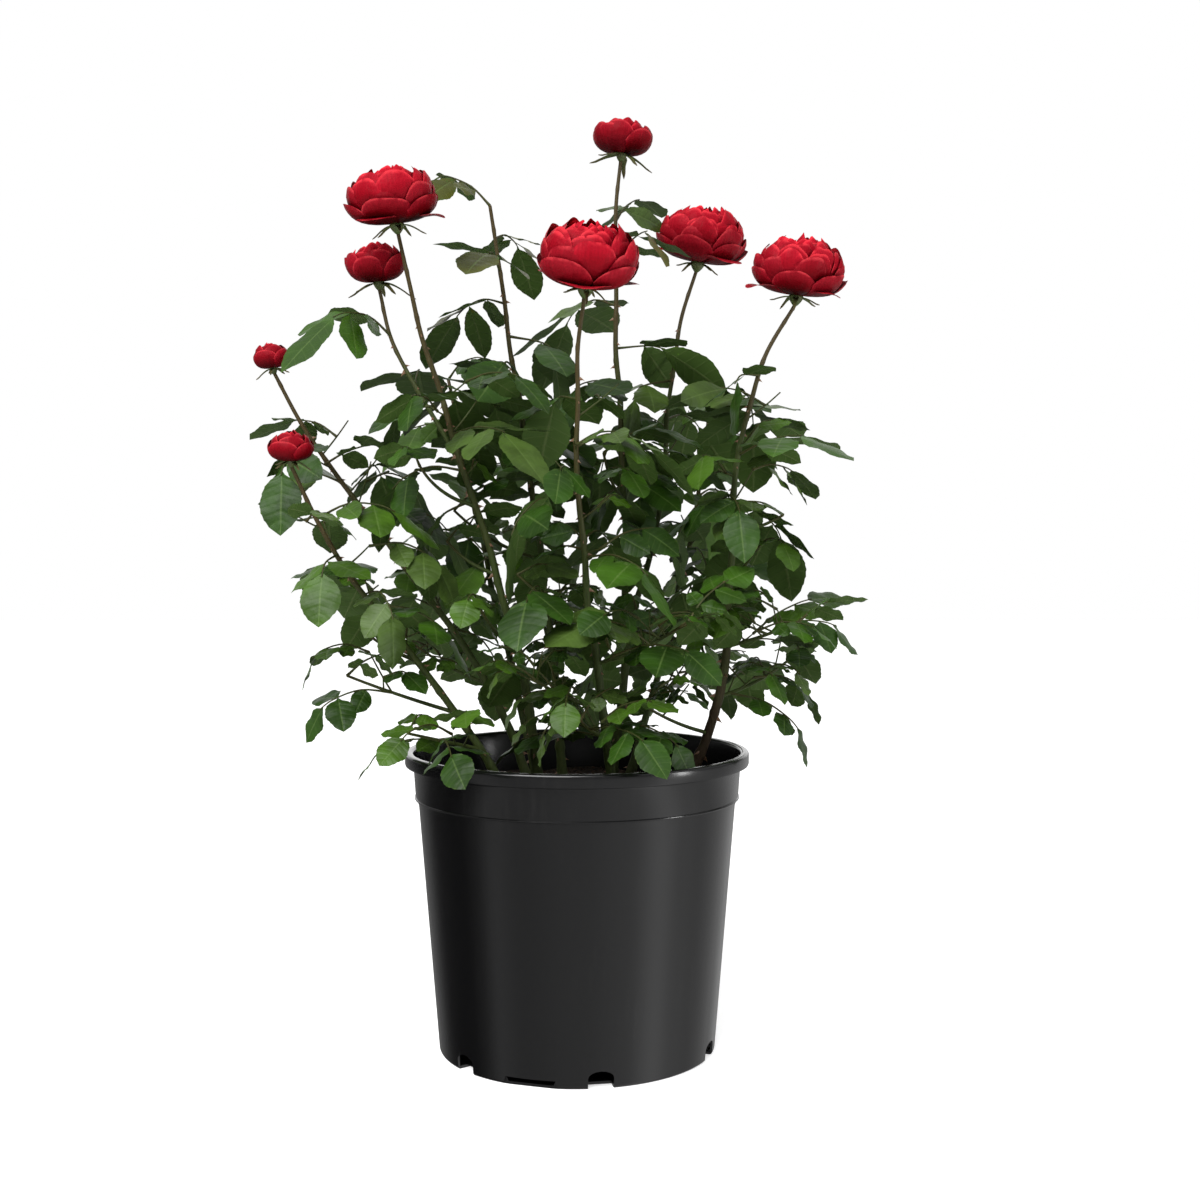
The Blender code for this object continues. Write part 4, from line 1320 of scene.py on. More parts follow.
def joined_by(operation: str, reflected: bool = False) -> Callable[[Wire, Wire | float], Wire]:
    """An operator for wires.

    Args:
        operation: The Math node that it adds.
        reflected: Whether the wire is the node's second value.

    Returns:
        The method.
    """
    def method(self: Wire, other: Wire | float) -> Wire:
        """The Math node of a wire and another value."""
        return self.math(operation, other, self) if reflected else self.math(operation, self, other)
    return method


class Wire:
    """A value socket: +, -, *, / and abs() on it add Math nodes."""

    def __init__(self, nodes: Nodes, socket: bpy.types.NodeSocket) -> None:
        """Wrap a socket of a tree."""
        self.nodes = nodes
        self.socket = socket

    def math(self, operation: str, first: Wire | float, second: Wire | float = 0.0) -> Wire:
        """One Math node of two values."""
        node = self.nodes.node("ShaderNodeMath", {"operation": operation}, {0: first, 1: second})
        return Wire(self.nodes, node.outputs[0])

    __add__ = __radd__ = joined_by("ADD")
    __mul__ = __rmul__ = joined_by("MULTIPLY")
    __sub__ = joined_by("SUBTRACT")
    __rsub__ = joined_by("SUBTRACT", reflected=True)
    __truediv__ = joined_by("DIVIDE")
    __rtruediv__ = joined_by("DIVIDE", reflected=True)

    def __abs__(self) -> Wire:
        """The size of self."""
        return self.math("ABSOLUTE", self)

    def step(self, low: float, high: float, first: float = 0.0, last: float = 1.0,
             shape: str = "SMOOTHSTEP") -> Wire:
        """One value up to low and another from high on, smooth between them.

        Args:
            low: Where it leaves the first value.
            high: Where it reaches the last.
            first: The first value.
            last: The last value.
            shape: The Map Range node's interpolation.

        Returns:
            The node's result.
        """
        node = self.nodes.node("ShaderNodeMapRange", {"interpolation_type": shape}, {
            "Value": self, "From Min": low, "From Max": high, "To Min": first, "To Max": last})
        return Wire(self.nodes, node.outputs["Result"])


class Bench(Nodes):
    """One material under the hand."""

    def __init__(self, name: str, roughness: float, **constants: float | Colour) -> None:
        """Start a Principled material.

        Args:
            name: Its name.
            roughness: The shader's roughness.
            constants: Other sockets of the shader, with _ for a space in their names.
        """
        self.material = bpy.data.materials.new(name)
        self.material.use_nodes = True
        super().__init__(self.material.node_tree)
        self.shader = self.tree.nodes["Principled BSDF"]
        for key, value in {"Roughness": roughness, **constants}.items():
            self.feed(self.shader.inputs[key.replace("_", " ")], value)

    def age(self) -> Wire:
        """The surface's age attribute."""
        return Wire(self, self.node("ShaderNodeAttribute", {"attribute_name": "age"}).outputs["Fac"])

    def place(self) -> tuple[Wire, Wire]:
        """The surface's own place.

        Returns:
            Its u and v.
        """
        own = self.node("ShaderNodeUVMap", {"uv_map": "grain"}).outputs[0]
        split = self.node("ShaderNodeSeparateXYZ", None, {0: own})
        return Wire(self, split.outputs[0]), Wire(self, split.outputs[1])

    def ribs(self) -> tuple[Wire, Wire]:
        """Where a point of a leaf lies among its veins, which lean forwards from the midrib.

        Returns:
            How far off the midrib, 1 at the edge, and off the nearest vein, 0.5 between two.
        """
        u, v = self.place()
        off = abs(u - 0.5) * 2.0
        course = v * VEINS - off * VEIN_LEAN
        return off, abs(course.math("FRACT", course) - 0.5)

    def noise(self, scale: float, detail: float = 3.0, stretch: Colour = (1.0, 1.0, 1.0),
              own: bool = False) -> Wire:
        """Noise from 0 to 1.

        Args:
            scale: How fine it is.
            detail: How many finer layers it has.
            stretch: How much finer along each axis.
            own: Whether it lies on the surface's own place, not on the object's.

        Returns:
            The noise.
        """
        if own:
            place = self.node("ShaderNodeUVMap", {"uv_map": "grain"}).outputs[0]
        else:
            place = self.node("ShaderNodeTexCoord").outputs["Object"]
        spot = self.node("ShaderNodeMapping", None, {"Vector": place, "Scale": stretch}).outputs[0]
        node = self.node("ShaderNodeTexNoise", None, {"Vector": spot, "Scale": scale, "Detail": detail})
        return Wire(self, node.outputs["Fac"])

    def mix(self, factor: Wire | float, first: object, second: object) -> bpy.types.NodeSocket:
        """A colour between two."""
        node = self.node("ShaderNodeMix", {"data_type": "RGBA"}, {0: factor, 6: first, 7: second})
        return node.outputs[2]

    def finish(self, colour: object, roughness: Wire | None = None, height: Wire | None = None,
               depth: float = 0.001) -> bpy.types.Material:
        """Feed the shader.

        Args:
            colour: Base colour.
            roughness: Roughness where it varies.
            height: Height of the relief from 0 to 1.
            depth: What a height of 1 stands for, in metres.

        Returns:
            The material.
        """
        self.feed(self.shader.inputs["Base Color"], colour)
        if roughness is not None:
            self.feed(self.shader.inputs["Roughness"], roughness)
        if height is not None:
            bump = self.node("ShaderNodeBump", None, {"Strength": 1.0, "Distance": depth, "Height": height})
            self.feed(self.shader.inputs["Normal"], bump.outputs[0])
        return self.material


# ------------------------------------------------------------------ finishes


class Green(Enum):
    """Leaf greens, dealt out leaf by leaf: base colour of the upper side."""

    DEEP = (0.015, 0.045, 0.0020)
    FULL = (0.026, 0.072, 0.0030)
    FRESH = (0.037, 0.088, 0.0045)
    # Painted sheen: this greyer green stands in for the glossy sheen on a leaf's upper side.
    GREY = (0.046, 0.084, 0.0130)
    BRONZE = (0.052, 0.058, 0.0060)


@dataclass(frozen=True)
class LeafFinish:
    """A leaf's upper side: pale ribs, a quilted relief between them and a soft gloss."""

    tone: Green
    rib: Colour = (0.110, 0.175, 0.045)
    roughness: float = 0.47
    gloss: float = 0.28
    shades: tuple[float, float] = (0.70, 1.30)
    vein_pale: float = 0.10
    midrib_pale: float = 0.36
    quilt: float = 0.25
    trough: float = 0.40
    net: float = 0.02
    swell: float = 1.9
    relief: float = 0.00045

    def build(self) -> bpy.types.Material:
        """Make the material: darker and lighter patches, paler ribs, swollen between the veins.

        Returns:
            The material.
        """
        bench = Bench(f"leaf_{self.tone.name.lower()}", self.roughness, Specular_IOR_Level=self.gloss)
        off, between = bench.ribs()
        patch = bench.noise(26.0, 2.0)
        dark, light = (tuple(c * shade for c in self.tone.value) for shade in self.shades)
        colour = bench.mix(patch.step(0.35, 0.65), dark, light)
        colour = bench.mix((1.0 - between.step(0.0, 0.10)) * self.vein_pale, colour, self.rib)
        colour = bench.mix((1.0 - off.step(0.015, 0.075)) * self.midrib_pale, colour, self.rib)
        height = between.step(0.0, 0.35) * self.quilt + off.step(0.0, 0.25) * self.trough
        height = height + bench.noise(900.0, 2.0) * self.net + bench.noise(120.0, 1.0) * self.swell
        return bench.finish(colour, self.roughness - 0.06 + patch * 0.12, height, self.relief)


@dataclass(frozen=True)
class UndersideFinish:
    """A leaf's paler, duller underside with raised ribs."""

    base: Colour = (0.042, 0.080, 0.014)
    rib: Colour = (0.080, 0.116, 0.034)
    roughness: float = 0.65
    gloss: float = 0.16
    relief: float = 0.00025

    def build(self) -> bpy.types.Material:
        """Make the material.

        Returns:
            The material.
        """
        bench = Bench("leaf_underside", self.roughness, Specular_IOR_Level=self.gloss)
        off, between = bench.ribs()
        vein = 1.0 - between.step(0.0, 0.12)
        midrib = 1.0 - off.step(0.02, 0.10)
        colour = bench.mix((vein * 0.4 + midrib) * 0.7, self.base, self.rib)
        return bench.finish(colour, None, vein * 0.6 + midrib, self.relief)


@dataclass(frozen=True)
class PetalFinish:
    """A velvety petal: darker towards its claw as painted shade, brighter at its rim and on its folds as
    painted highlight, crumpled and finely veined.
    """

    tone: Red
    roughness: float = 0.44
    gloss: float = 0.035
    claw_painted_shade: float = 0.10
    relief: float = 0.0014

    def build(self) -> bpy.types.Material:
        """Make the material: folds are coarse noise, veins are noise stretched along the petal.

        Returns:
            The material.
        """
        bench = Bench(f"petal_{self.tone.name.lower()}", self.roughness, Specular_IOR_Level=self.gloss)
        _, v = bench.place()
        base = self.tone.value
        # dark is painted shade towards the claw and also the colour of the vein streaks; light and rim are
        # painted highlights.
        dark = tuple(c * self.claw_painted_shade for c in base)
        light = (base[0] * 2.2, base[1] + 0.008, base[2] * 2.0 + 0.012)
        rim = (base[0] * 3.4, base[1] + 0.030, base[2] * 3.0 + 0.030)
        folds = bench.noise(110.0, 2.0)
        veins = bench.noise(1.0, 3.0, (24.0, 2.4, 1.0), own=True)
        # Painted highlight towards the rim and over the folds, plus a random brightness per petal; then
        # painted shade from the claw up, dark vein streaks, and a painted rim highlight on the folds.
        painted_highlight_and_tone = (v.step(0.72, 1.0) * 0.55 + bench.age() * 0.35) * (0.45 + folds * 0.9)
        colour = bench.mix(painted_highlight_and_tone, bench.mix(v.step(0.32, 0.92), dark, base), light)
        colour = bench.mix(veins.step(0.62, 0.40) * 0.16, colour, dark)
        colour = bench.mix(v.step(0.93, 0.99) * folds.step(0.35, 0.60) * 0.8, colour, rim)
        height = folds * 1.3 + veins * 0.10 + bench.noise(420.0, 2.0) * 0.15
        return bench.finish(colour, None, height, self.relief)


@dataclass(frozen=True)
class BarkFinish:
    """Rose bark: smooth green above, brown and cracked where the wood is old."""

    green: Colour = (0.034, 0.052, 0.010)
    flush: Colour = (0.050, 0.036, 0.012)
    old: Colour = (0.036, 0.021, 0.012)
    streak: Colour = (0.085, 0.068, 0.030)
    crack: Colour = (0.020, 0.016, 0.008)
    roughness: float = 0.46
    gloss: float = 0.20
    relief: float = 0.0009

    def build(self) -> bpy.types.Material:
        """Make the material: age 0 is a flushed tip, 0.4 green and 1 old wood.

        Returns:
            The material.
        """
        bench = Bench("rose_bark", self.roughness, Specular_IOR_Level=self.gloss)
        age = bench.age() + (bench.noise(45.0, 3.0) - 0.5) * 0.35
        grain = bench.noise(60.0, 4.0, (9.0, 9.0, 1.0))
        colour = bench.mix(age.step(0.05, 0.38), self.flush, self.green)
        colour = bench.mix(age.step(0.55, 0.95), colour, self.old)
        colour = bench.mix(grain.step(0.50, 0.80) * 0.22, colour, self.streak)
        colour = bench.mix(grain.step(0.55, 0.30) * 0.35, colour, self.crack)
        height = grain * (0.35 + age) + bench.noise(400.0, 3.0) * 0.4
        return bench.finish(colour, self.roughness + age * 0.30, height, self.relief)


@dataclass(frozen=True)
class PlainFinish:
    """A mottled finish of two colours with a fine relief."""

    name: str
    first: Colour
    second: Colour
    roughness: float
    grain: float
    relief: float
    gloss: float
    by_age: bool = False

    def build(self) -> bpy.types.Material:
        """Make the material; by age, the second colour grows with the surface's age.

        Returns:
            The material.
        """
        bench = Bench(self.name, self.roughness, Specular_IOR_Level=self.gloss)
        grain = bench.noise(self.grain, 4.0)
        factor = grain.step(0.35, 0.68)
        if self.by_age:
            factor = bench.age() * 0.8 + factor * 0.2
        return bench.finish(bench.mix(factor, self.first, self.second), None, grain, self.relief)


EARTH = PlainFinish("potting_mix", (0.008, 0.0055, 0.004), (0.030, 0.020, 0.013), 0.92, 240.0, 0.0018, 0.2)
CRUMB = PlainFinish("bark_crumb", (0.016, 0.010, 0.007), (0.060, 0.036, 0.022), 0.85, 180.0, 0.0008, 0.25,
                    True)
SPECK = PlainFinish("perlite_speck", (0.34, 0.32, 0.28), (0.46, 0.44, 0.40), 0.8, 500.0, 0.0004, 0.2)
THORN = PlainFinish("thorn", (0.130, 0.070, 0.036), (0.210, 0.120, 0.070), 0.5, 300.0, 0.0001, 0.4, True)
SEPAL = PlainFinish("hip_and_sepals", (0.046, 0.082, 0.020), (0.090, 0.060, 0.026), 0.5, 90.0, 0.0003, 0.35,
                    True)


@dataclass(frozen=True)
class PotFinish:
    """Black satin plastic with faint upright drag marks and a little dust."""

    base: Colour = (0.0026, 0.0026, 0.0028)
    dust: Colour = (0.012, 0.0115, 0.011)
    roughness: float = 0.16
    gloss: float = 0.5
    relief: float = 0.00005

    def build(self) -> bpy.types.Material:
        """Make the material.

        Returns:
            The material.
        """
        bench = Bench("pot_black_plastic", self.roughness, Specular_IOR_Level=self.gloss)
        drag = bench.noise(34.0, 5.0, (6.0, 6.0, 0.35))
        haze = bench.noise(9.0, 3.0)
        colour = bench.mix((drag * haze).step(0.30, 0.62) * 0.5, self.base, self.dust)
        roughness = self.roughness + haze * 0.08 + drag.step(0.5, 0.8) * 0.05
        return bench.finish(colour, roughness, drag * 0.6 + bench.noise(700.0, 2.0) * 0.25, self.relief)


# ------------------------------------------------------------------ sub-assemblies


def dress(made: bpy.types.Object, nodes: list[str]) -> bpy.types.Object:
    """Seat a finished piece in the frame.

    Args:
        made: The piece.
        nodes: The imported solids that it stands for.

    Returns:
        The piece.
    """
    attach(made, "root")
    if nodes:
        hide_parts(*nodes)
    LOG.info("%s: %d faces", made.name, len(made.data.polygons))
    return made


def arc(x: float, z: float, radius: float, first_deg: float, steps: int = 5,
        sweep_deg: float = 90.0) -> list[tuple[float, float]]:
    """Points (x, z) of a section on an arc round a centre, from first_deg through sweep_deg."""
    angles = np.radians(np.linspace(first_deg, first_deg + sweep_deg, steps))
    return [(x + radius * math.cos(a), z + radius * math.sin(a)) for a in angles]


@dataclass
class NurseryPot:
    """The pot: a turned plastic shell with a rolled lip, a band and notches round its foot."""

    height: float
    lip_r: float
    wall_top_r: float = 0.1288
    base_r: float = 0.1130
    band_r: float = 0.1332
    band_low_r: float = 0.1314
    lip_drop: float = 0.011
    band_drop: float = 0.038
    lip_width: float = 0.0070
    wall: float = 0.0018
    floor: float = 0.0022
    bead: float = 0.0009
    edge: float = 0.0024
    sides: int = 192
    sharp_deg: float = 28.0
    drains: int = 6
    drain_first_deg: float = -80.0
    drain_width: float = 0.020
    drain_height: float = 0.014
    drain_depth: float = 0.012
    drain_arch: float = 0.0055
    gates: int = 3
    gate_first_deg: float = -108.0
    gate_width: float = 0.047
    gate_height: float = 0.0065
    gate_depth: float = 0.0033
    gate_lean: float = 0.0035
    cut_below: float = 0.004
    cut_past: float = 0.012

    @classmethod
    def from_frame(cls) -> "NurseryPot":
        """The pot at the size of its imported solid."""
        low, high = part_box("pot")
        return cls(height=high.z, lip_r=(high.x - low.x) * 0.5)

    def profile(self) -> Array:
        """Half section from the middle of the underside, up the outside and down the inside.

        Returns:
            (radius, height) of each point.
        """
        top = self.height
        lip_low = top - self.lip_drop
        band_low = top - self.band_drop
        inner = self.lip_r - self.lip_width
        soft = self.edge
        return np.array([
            (0.0, 0.0), (self.base_r * 0.90, 0.0), *arc(self.base_r - soft, soft, soft, -90.0),
            (self.wall_top_r, band_low - 0.0060), (self.band_low_r - 0.0013, band_low - 0.0012),
            (self.band_low_r - 0.0011, band_low - 0.0002),
            *arc(self.band_low_r, band_low + self.bead, self.bead, -90.0, 7, 180.0),
            (self.band_r - 0.0002, lip_low - 0.0022), (self.band_r + 0.0006, lip_low - 0.0006),
            (self.lip_r - 0.0022, lip_low - 0.0001), (self.lip_r - 0.0004, lip_low + 0.0007),
            (self.lip_r, lip_low + 0.0020), *arc(self.lip_r - soft, top - soft, soft, 0.0),
            *arc(inner + soft, top - soft, soft, 90.0), (inner - 0.0006, top - 0.0080),
            (self.band_r - self.wall, lip_low - 0.0040),
            (self.band_low_r - self.wall - 0.0004, band_low + 0.0010),
            (self.wall_top_r - self.wall, band_low - 0.0014), (self.base_r - self.wall, self.floor),
            (0.0, self.floor),
        ])

    def cutters(self) -> list[bpy.types.Object]:
        """Blocks that cut the notches: round-topped drains and shallow wide gates.

        Returns:
            The blocks.
        """
        half = self.drain_width * 0.5
        round_top = np.linspace(0.0, np.pi, 9)
        crown = self.drain_height - self.drain_arch
        drain = np.concatenate([
            [[-half, -self.cut_below], [half, -self.cut_below]],
            np.stack([half * np.cos(round_top), crown + self.drain_arch * np.sin(round_top)], -1)])
        wide = self.gate_width * 0.5
        slim = wide - self.gate_lean
        gate = np.array([[-wide, -self.cut_below], [wide, -self.cut_below],
                         [slim, self.gate_height], [-slim, self.gate_height]])
        turns = [(drain, self.drain_first_deg + 360.0 * i / self.drains, self.drain_depth)
                 for i in range(self.drains)]
        turns += [(gate, self.gate_first_deg + 360.0 * i / self.gates, self.gate_depth)
                  for i in range(self.gates)]
        blocks = []
        for i, (outline, degrees, depth) in enumerate(turns):
            turn = math.radians(degrees)
            out = np.array([math.cos(turn), math.sin(turn), 0.0])
            side = np.array([-math.sin(turn), math.cos(turn), 0.0])
            flat = outline[:, :1] * side + outline[:, 1:] * np.array([0.0, 0.0, 1.0])
            n = len(outline)
            j = np.arange(n)
            k = (j + 1) % n
            block = Shell()
            ends = [flat + out * (self.base_r + past) for past in (-depth, self.cut_past)]
            block.add(np.concatenate(ends), [np.stack([j, k, k + n, j + n], -1), j[None, ::-1], j[None] + n])
            blocks.append(block.make(f"notch_cutter_{i}", [], self.sharp_deg))
        return blocks

    def build(self) -> bpy.types.Object:
        """Make the pot and cut its notches.

        Returns:
            The pot.
        """
        shell = Shell()
        turned(shell, self.profile(), self.sides)
        pot = shell.make("pot_shell", [PotFinish().build()], self.sharp_deg)
        for block in self.cutters():
            cut = pot.modifiers.new("notch", "BOOLEAN")
            cut.operation = "DIFFERENCE"
            cut.solver = "EXACT"
            cut.object = block
        graph = bpy.context.evaluated_depsgraph_get()
        mesh = bpy.data.meshes.new_from_object(pot.evaluated_get(graph))
        for modifier in list(pot.modifiers):
            block = modifier.object
            pot.modifiers.remove(modifier)
            bpy.data.objects.remove(block)
        pot.data = mesh
        mesh.set_sharp_from_angle(angle=math.radians(self.sharp_deg))
        return dress(pot, ["pot"])


def rotated(first: Array, second: Array, angle: Array) -> tuple[Array, Array]:
    """Two coordinates turned by an angle in their own plane."""
    return (first * np.cos(angle) - second * np.sin(angle), first * np.sin(angle) + second * np.cos(angle))


@dataclass
class PottingMix:
    """The soil in the pot: an uneven surface strewn with crumbs of bark."""

    top: float
    radius: float
    floor: float = 0.0220
    wall_lean: float = 0.076
    rings: int = 26
    sides: int = 96
    crumbs: int = 1500
    crumb_size: tuple[float, float] = (0.0014, 0.0062)
    specks: int = 46
    speck_size: tuple[float, float] = (0.0012, 0.0026)
    wave: float = 0.0013
    sunk: float = 0.0022

    @classmethod
    def from_frame(cls) -> "PottingMix":
        """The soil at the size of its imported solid."""
        low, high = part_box("soil")
        return cls(top=high.z, radius=(high.x - low.x) * 0.5)

    def heave(self, x: Array, y: Array) -> Array:
        """Unevenness in metres: a few crossed waves, as a whole a little sunk.

        Args:
            x: Places across.
            y: Places in depth.

        Returns:
            Height above the mean surface.
        """
        waves = (np.sin(61 * x + 1.3) * np.cos(47 * y) + 0.6 * np.sin(113 * y + 90 * x)
                 + 0.4 * np.cos(190 * x - 70 * y))
        return self.wave * waves - self.sunk

    def build(self, rng: np.random.Generator) -> None:
        """Make the soil and the crumbs on it.

        Args:
            rng: Draws of the crumbs.
        """
        shell = Shell()
        radii = np.linspace(self.radius - 0.0006, 0.004, self.rings)
        low_r = self.radius - (self.top - self.floor) * self.wall_lean
        profile = np.concatenate([
            [[0.0, self.floor], [low_r, self.floor], [self.radius - 0.0008, self.top - 0.008]],
            np.stack([radii, np.full(self.rings, self.top)], -1), [[0.0, self.top - 0.002]]])
        turn = circle(self.sides)
        lift = np.zeros((len(profile) - 2, self.sides))
        lift[2:] = self.heave(radii[:, None] * np.cos(turn), radii[:, None] * np.sin(turn))
        turned(shell, profile, self.sides, lift)
        dress(shell.make("potting_mix", [EARTH.build()], 60.0), ["soil"])
        crumbs = Shell()
        self.strew(crumbs, rng, self.crumbs, self.crumb_size, 0)
        self.strew(crumbs, rng, self.specks, self.speck_size, 1)
        dress(crumbs.make("bark_crumbs", [CRUMB.build(), SPECK.build()], 30.0), [])

    def strew(self, shell: Shell, rng: np.random.Generator, count: int, size: tuple[float, float],
              slot: int) -> None:
        """Strew angular crumbs: unit cubes with moved corners, scaled, turned and laid down.

        Args:
            shell: Where they go.
            rng: The draws.
            count: How many.
            size: Shortest and longest.
            slot: Their material slot.
        """
        corner = np.array([[x, y, z] for z in (-0.5, 0.5) for y in (-0.5, 0.5) for x in (-0.5, 0.5)])
        faces = np.array([[0, 2, 3, 1], [4, 5, 7, 6], [0, 1, 5, 4], [2, 6, 7, 3], [0, 4, 6, 2], [1, 3, 7, 5]])
        length = size[0] + (size[1] - size[0]) * rng.uniform(0, 1, count) ** 2.2
        scale = np.stack([length, length * rng.uniform(0.4, 0.9, count),
                          length * rng.uniform(0.18, 0.5, count)], -1)
        points = (corner[None] + rng.uniform(-0.22, 0.22, (count, 8, 3))) * scale[:, None]
        tilt = rng.normal(0.0, 0.45, (count, 2))
        yaw = rng.uniform(0, 2 * np.pi, count)
        x, y, z = points[..., 0], points[..., 1], points[..., 2]
        y, z = rotated(y, z, tilt[:, :1])
        z, x = rotated(z, x, tilt[:, 1:])
        x, y = rotated(x, y, yaw[:, None])
        away = (self.radius - 0.006) * np.sqrt(rng.uniform(0, 1, count))
        bearing = rng.uniform(0, 2 * np.pi, count)
        px, py = away * np.cos(bearing), away * np.sin(bearing)
        pz = self.top + self.heave(px, py) + scale[:, 2] * 0.25
        points = np.stack([x + px[:, None], y + py[:, None], z + pz[:, None]], -1).reshape(-1, 3)
        shell.add(points, [copies(faces, count, 8)], None, np.repeat(rng.uniform(0, 1, count), 8), [slot])


@dataclass
class CaneWork:
    """The canes and boughs, with bark relief and thorns, and the thin green stems."""

    growth: Growth
    steps: int = 20
    sides: int = 14
    node_gap: float = 0.036
    node_length: float = 0.0026
    slimmer: float = 0.86
    thorn_first: float = 0.010
    thorn_last: float = 0.86
    thorn_gap: float = 0.013
    thorn_strays: float = 0.006
    thorn_length: tuple[float, float] = (0.0045, 0.0080)
    thorn_sides: int = 6
    thorn_rows: tuple[float, ...] = (0.0, 0.22, 0.50, 0.78, 0.97)
    thorn_hook: float = 0.42
    thorn_foot: tuple[float, float] = (0.42, 0.17)

    def line(self, limb: Limb, steps: int) -> tuple[Array, Array]:
        """A limb's smooth centre line and radii."""
        return smooth_line(as_rows(limb.points), steps), smooth_line(np.array(limb.radii), steps)

    def rooted(self, path: Array, radii: Array, parent: str, drop: float,
               swell: float) -> tuple[Array, Array]:
        """A side limb's line begun `drop` lower in the middle of its parent, `swell` times as thick."""
        root = self.growth.limbs[parent].at(path[0, 2] - drop)[0]
        return np.concatenate([[tuple(root)], path]), np.concatenate([radii[:1] * swell, radii])

    def relief(self, path: Array, old: Array, rng: np.random.Generator) -> Array:
        """Bark relief as a share of the radius: ridges along the wood and swollen leaf joints.

        Args:
            path: Centre line.
            old: How old the wood is along it, 0 to 1.
            rng: The draws.

        Returns:
            Share by point and angle.
        """
        along = length_along(path)[:, None]
        turn = circle(self.sides)[None]
        phase = rng.uniform(0, 2 * np.pi, 4)
        ridges = (0.05 * np.sin(3 * turn + 35 * along + phase[0])
                  + 0.04 * np.sin(5 * turn - 60 * along + phase[1])
                  + 0.05 * np.sin(2 * turn + 140 * along + phase[2]) * np.sin(90 * along + phase[3]))
        joints = np.arange(0.03, along[-1, 0], self.node_gap)
        swell = np.exp(-((along - joints[None]) / self.node_length) ** 2).sum(1, keepdims=True)
        return ridges * (0.35 + 1.2 * old[:, None]) + 0.16 * swell * (1.0 + 0.6 * np.sin(turn + 9 * along))

    def build(self, rng: np.random.Generator) -> None:
        """Make canes, thorns and green stems.

        Args:
            rng: Draws of the relief and the thorns.
        """
        bark = BarkFinish().build()
        canes = Shell()
        thorns = Shell()
        for cane in CANES:
            path, radii = self.line(self.growth.limbs[cane.name], self.steps)
            radii = radii * self.slimmer
            if cane.springs_from:
                path, radii = self.rooted(path, radii, cane.springs_from, 0.0, 1.15)
            share = np.linspace(0, 1, len(path))
            age = np.clip(0.30 + cane.old - (0.30 + cane.old + 0.05) * share ** 1.15, 0, 1)
            relief = self.relief(path, np.clip(age - 0.35, 0, 1) * 1.4, rng)
            sweep(canes, path, radii, self.sides, age, relief)
            self.thorns(thorns, path, radii, age, rng)
        dress(canes.make("rose_canes", [bark], 60.0), [cane.name for cane in CANES])
        dress(thorns.make("thorns", [THORN.build()], 60.0), [])
        self.green_stems(bark)

    def thorns(self, shell: Shell, path: Array, radii: Array, age: Array,
               rng: np.random.Generator) -> None:
        """Thorns down a cane: hooked cones, ellipse at the foot, r (1 - h)^1.4 at share h.

        Args:
            shell: Where they go.
            path: The cane's centre line.
            radii: Its radii.
            age: Its age along it.
            rng: The draws.
        """
        along = length_along(path)
        spots = np.arange(self.thorn_first, along[-1] * self.thorn_last, self.thorn_gap)
        n = len(spots)
        spots = spots + rng.uniform(-self.thorn_strays, self.thorn_strays, n)
        base = np.stack([np.interp(spots, along, path[:, k]) for k in range(3)], -1)
        ahead = unit(np.stack([np.interp(spots, along, np.gradient(path[:, k])) for k in range(3)], -1))
        across = unit(np.cross(ahead, [0.0, 1.0, 0.001]))
        over = np.cross(across, ahead)
        turn = (np.arange(n) * GOLDEN + rng.uniform(-0.5, 0.5, n))[:, None]
        out = across * np.cos(turn) + over * np.sin(turn)
        size = rng.uniform(*self.thorn_length, n)
        size = size * np.clip(0.55 + 0.5 * np.interp(spots, along, age), 0.5, 1.0)
        base = base + out * (np.interp(spots, along, radii) * 0.75)[:, None]
        rows = np.array(self.thorn_rows)
        ring = circle(self.thorn_sides)[None, None, :, None]
        girth = ((1 - rows) ** 1.4 * 0.95 + 0.03)[None, :, None, None]
        height = rows[None, :, None, None]
        s = size[:, None, None, None]
        ahead, out, side = (axis[:, None, None] for axis in (ahead, out, np.cross(ahead, out)))
        points = base[:, None, None] + (out * height - ahead * self.thorn_hook * height ** 2) * s
        points = points + (ahead * np.cos(ring) * girth * self.thorn_foot[0]
                           + side * np.sin(ring) * girth * self.thorn_foot[1]) * s
        each = len(rows) * self.thorn_sides
        cap = np.arange(self.thorn_sides)[None]
        caps = np.concatenate([cap[:, ::-1], cap + each - self.thorn_sides])
        wall = grid_faces(len(rows), self.thorn_sides, True)
        ages = np.tile(np.repeat(rows, self.thorn_sides), n)
        faces = [copies(part, n, each)[:, ::-1] for part in (wall, caps)]
        shell.add(points.reshape(-1, 3), faces, None, ages)

    def green_stems(self, bark: bpy.types.Material) -> None:
        """Side shoots, fine twigs and leaf stalks, each from inside what carries it.

        Args:
            bark: Their material.
        """
        stems = Shell()
        for shoot in SHOOTS:
            path, radii = self.line(self.growth.masses[shoot.name].limb, 4)
            path, radii = self.rooted(path, radii, shoot.cane, 0.002, 1.3)
            sweep(stems, path, radii, 8, np.linspace(0.45, 0.20, len(path)))
        for mass in self.growth.masses.values():
            for twig in mass.twigs:
                sweep(stems, *self.line(twig, 3), 6, 0.28)
            for leaf in mass.leaves + mass.fine:
                path = smooth_line(as_rows(leaf.stalk), 4)
                girth = np.linspace(1.0, 0.55, len(path)) + 0.5 * np.exp(-np.arange(len(path)) / 1.2)
                sweep(stems, path, STALK_R * 0.80 * girth, 6, 0.24)
        dress(stems.make("green_stems", [bark], 60.0), [])


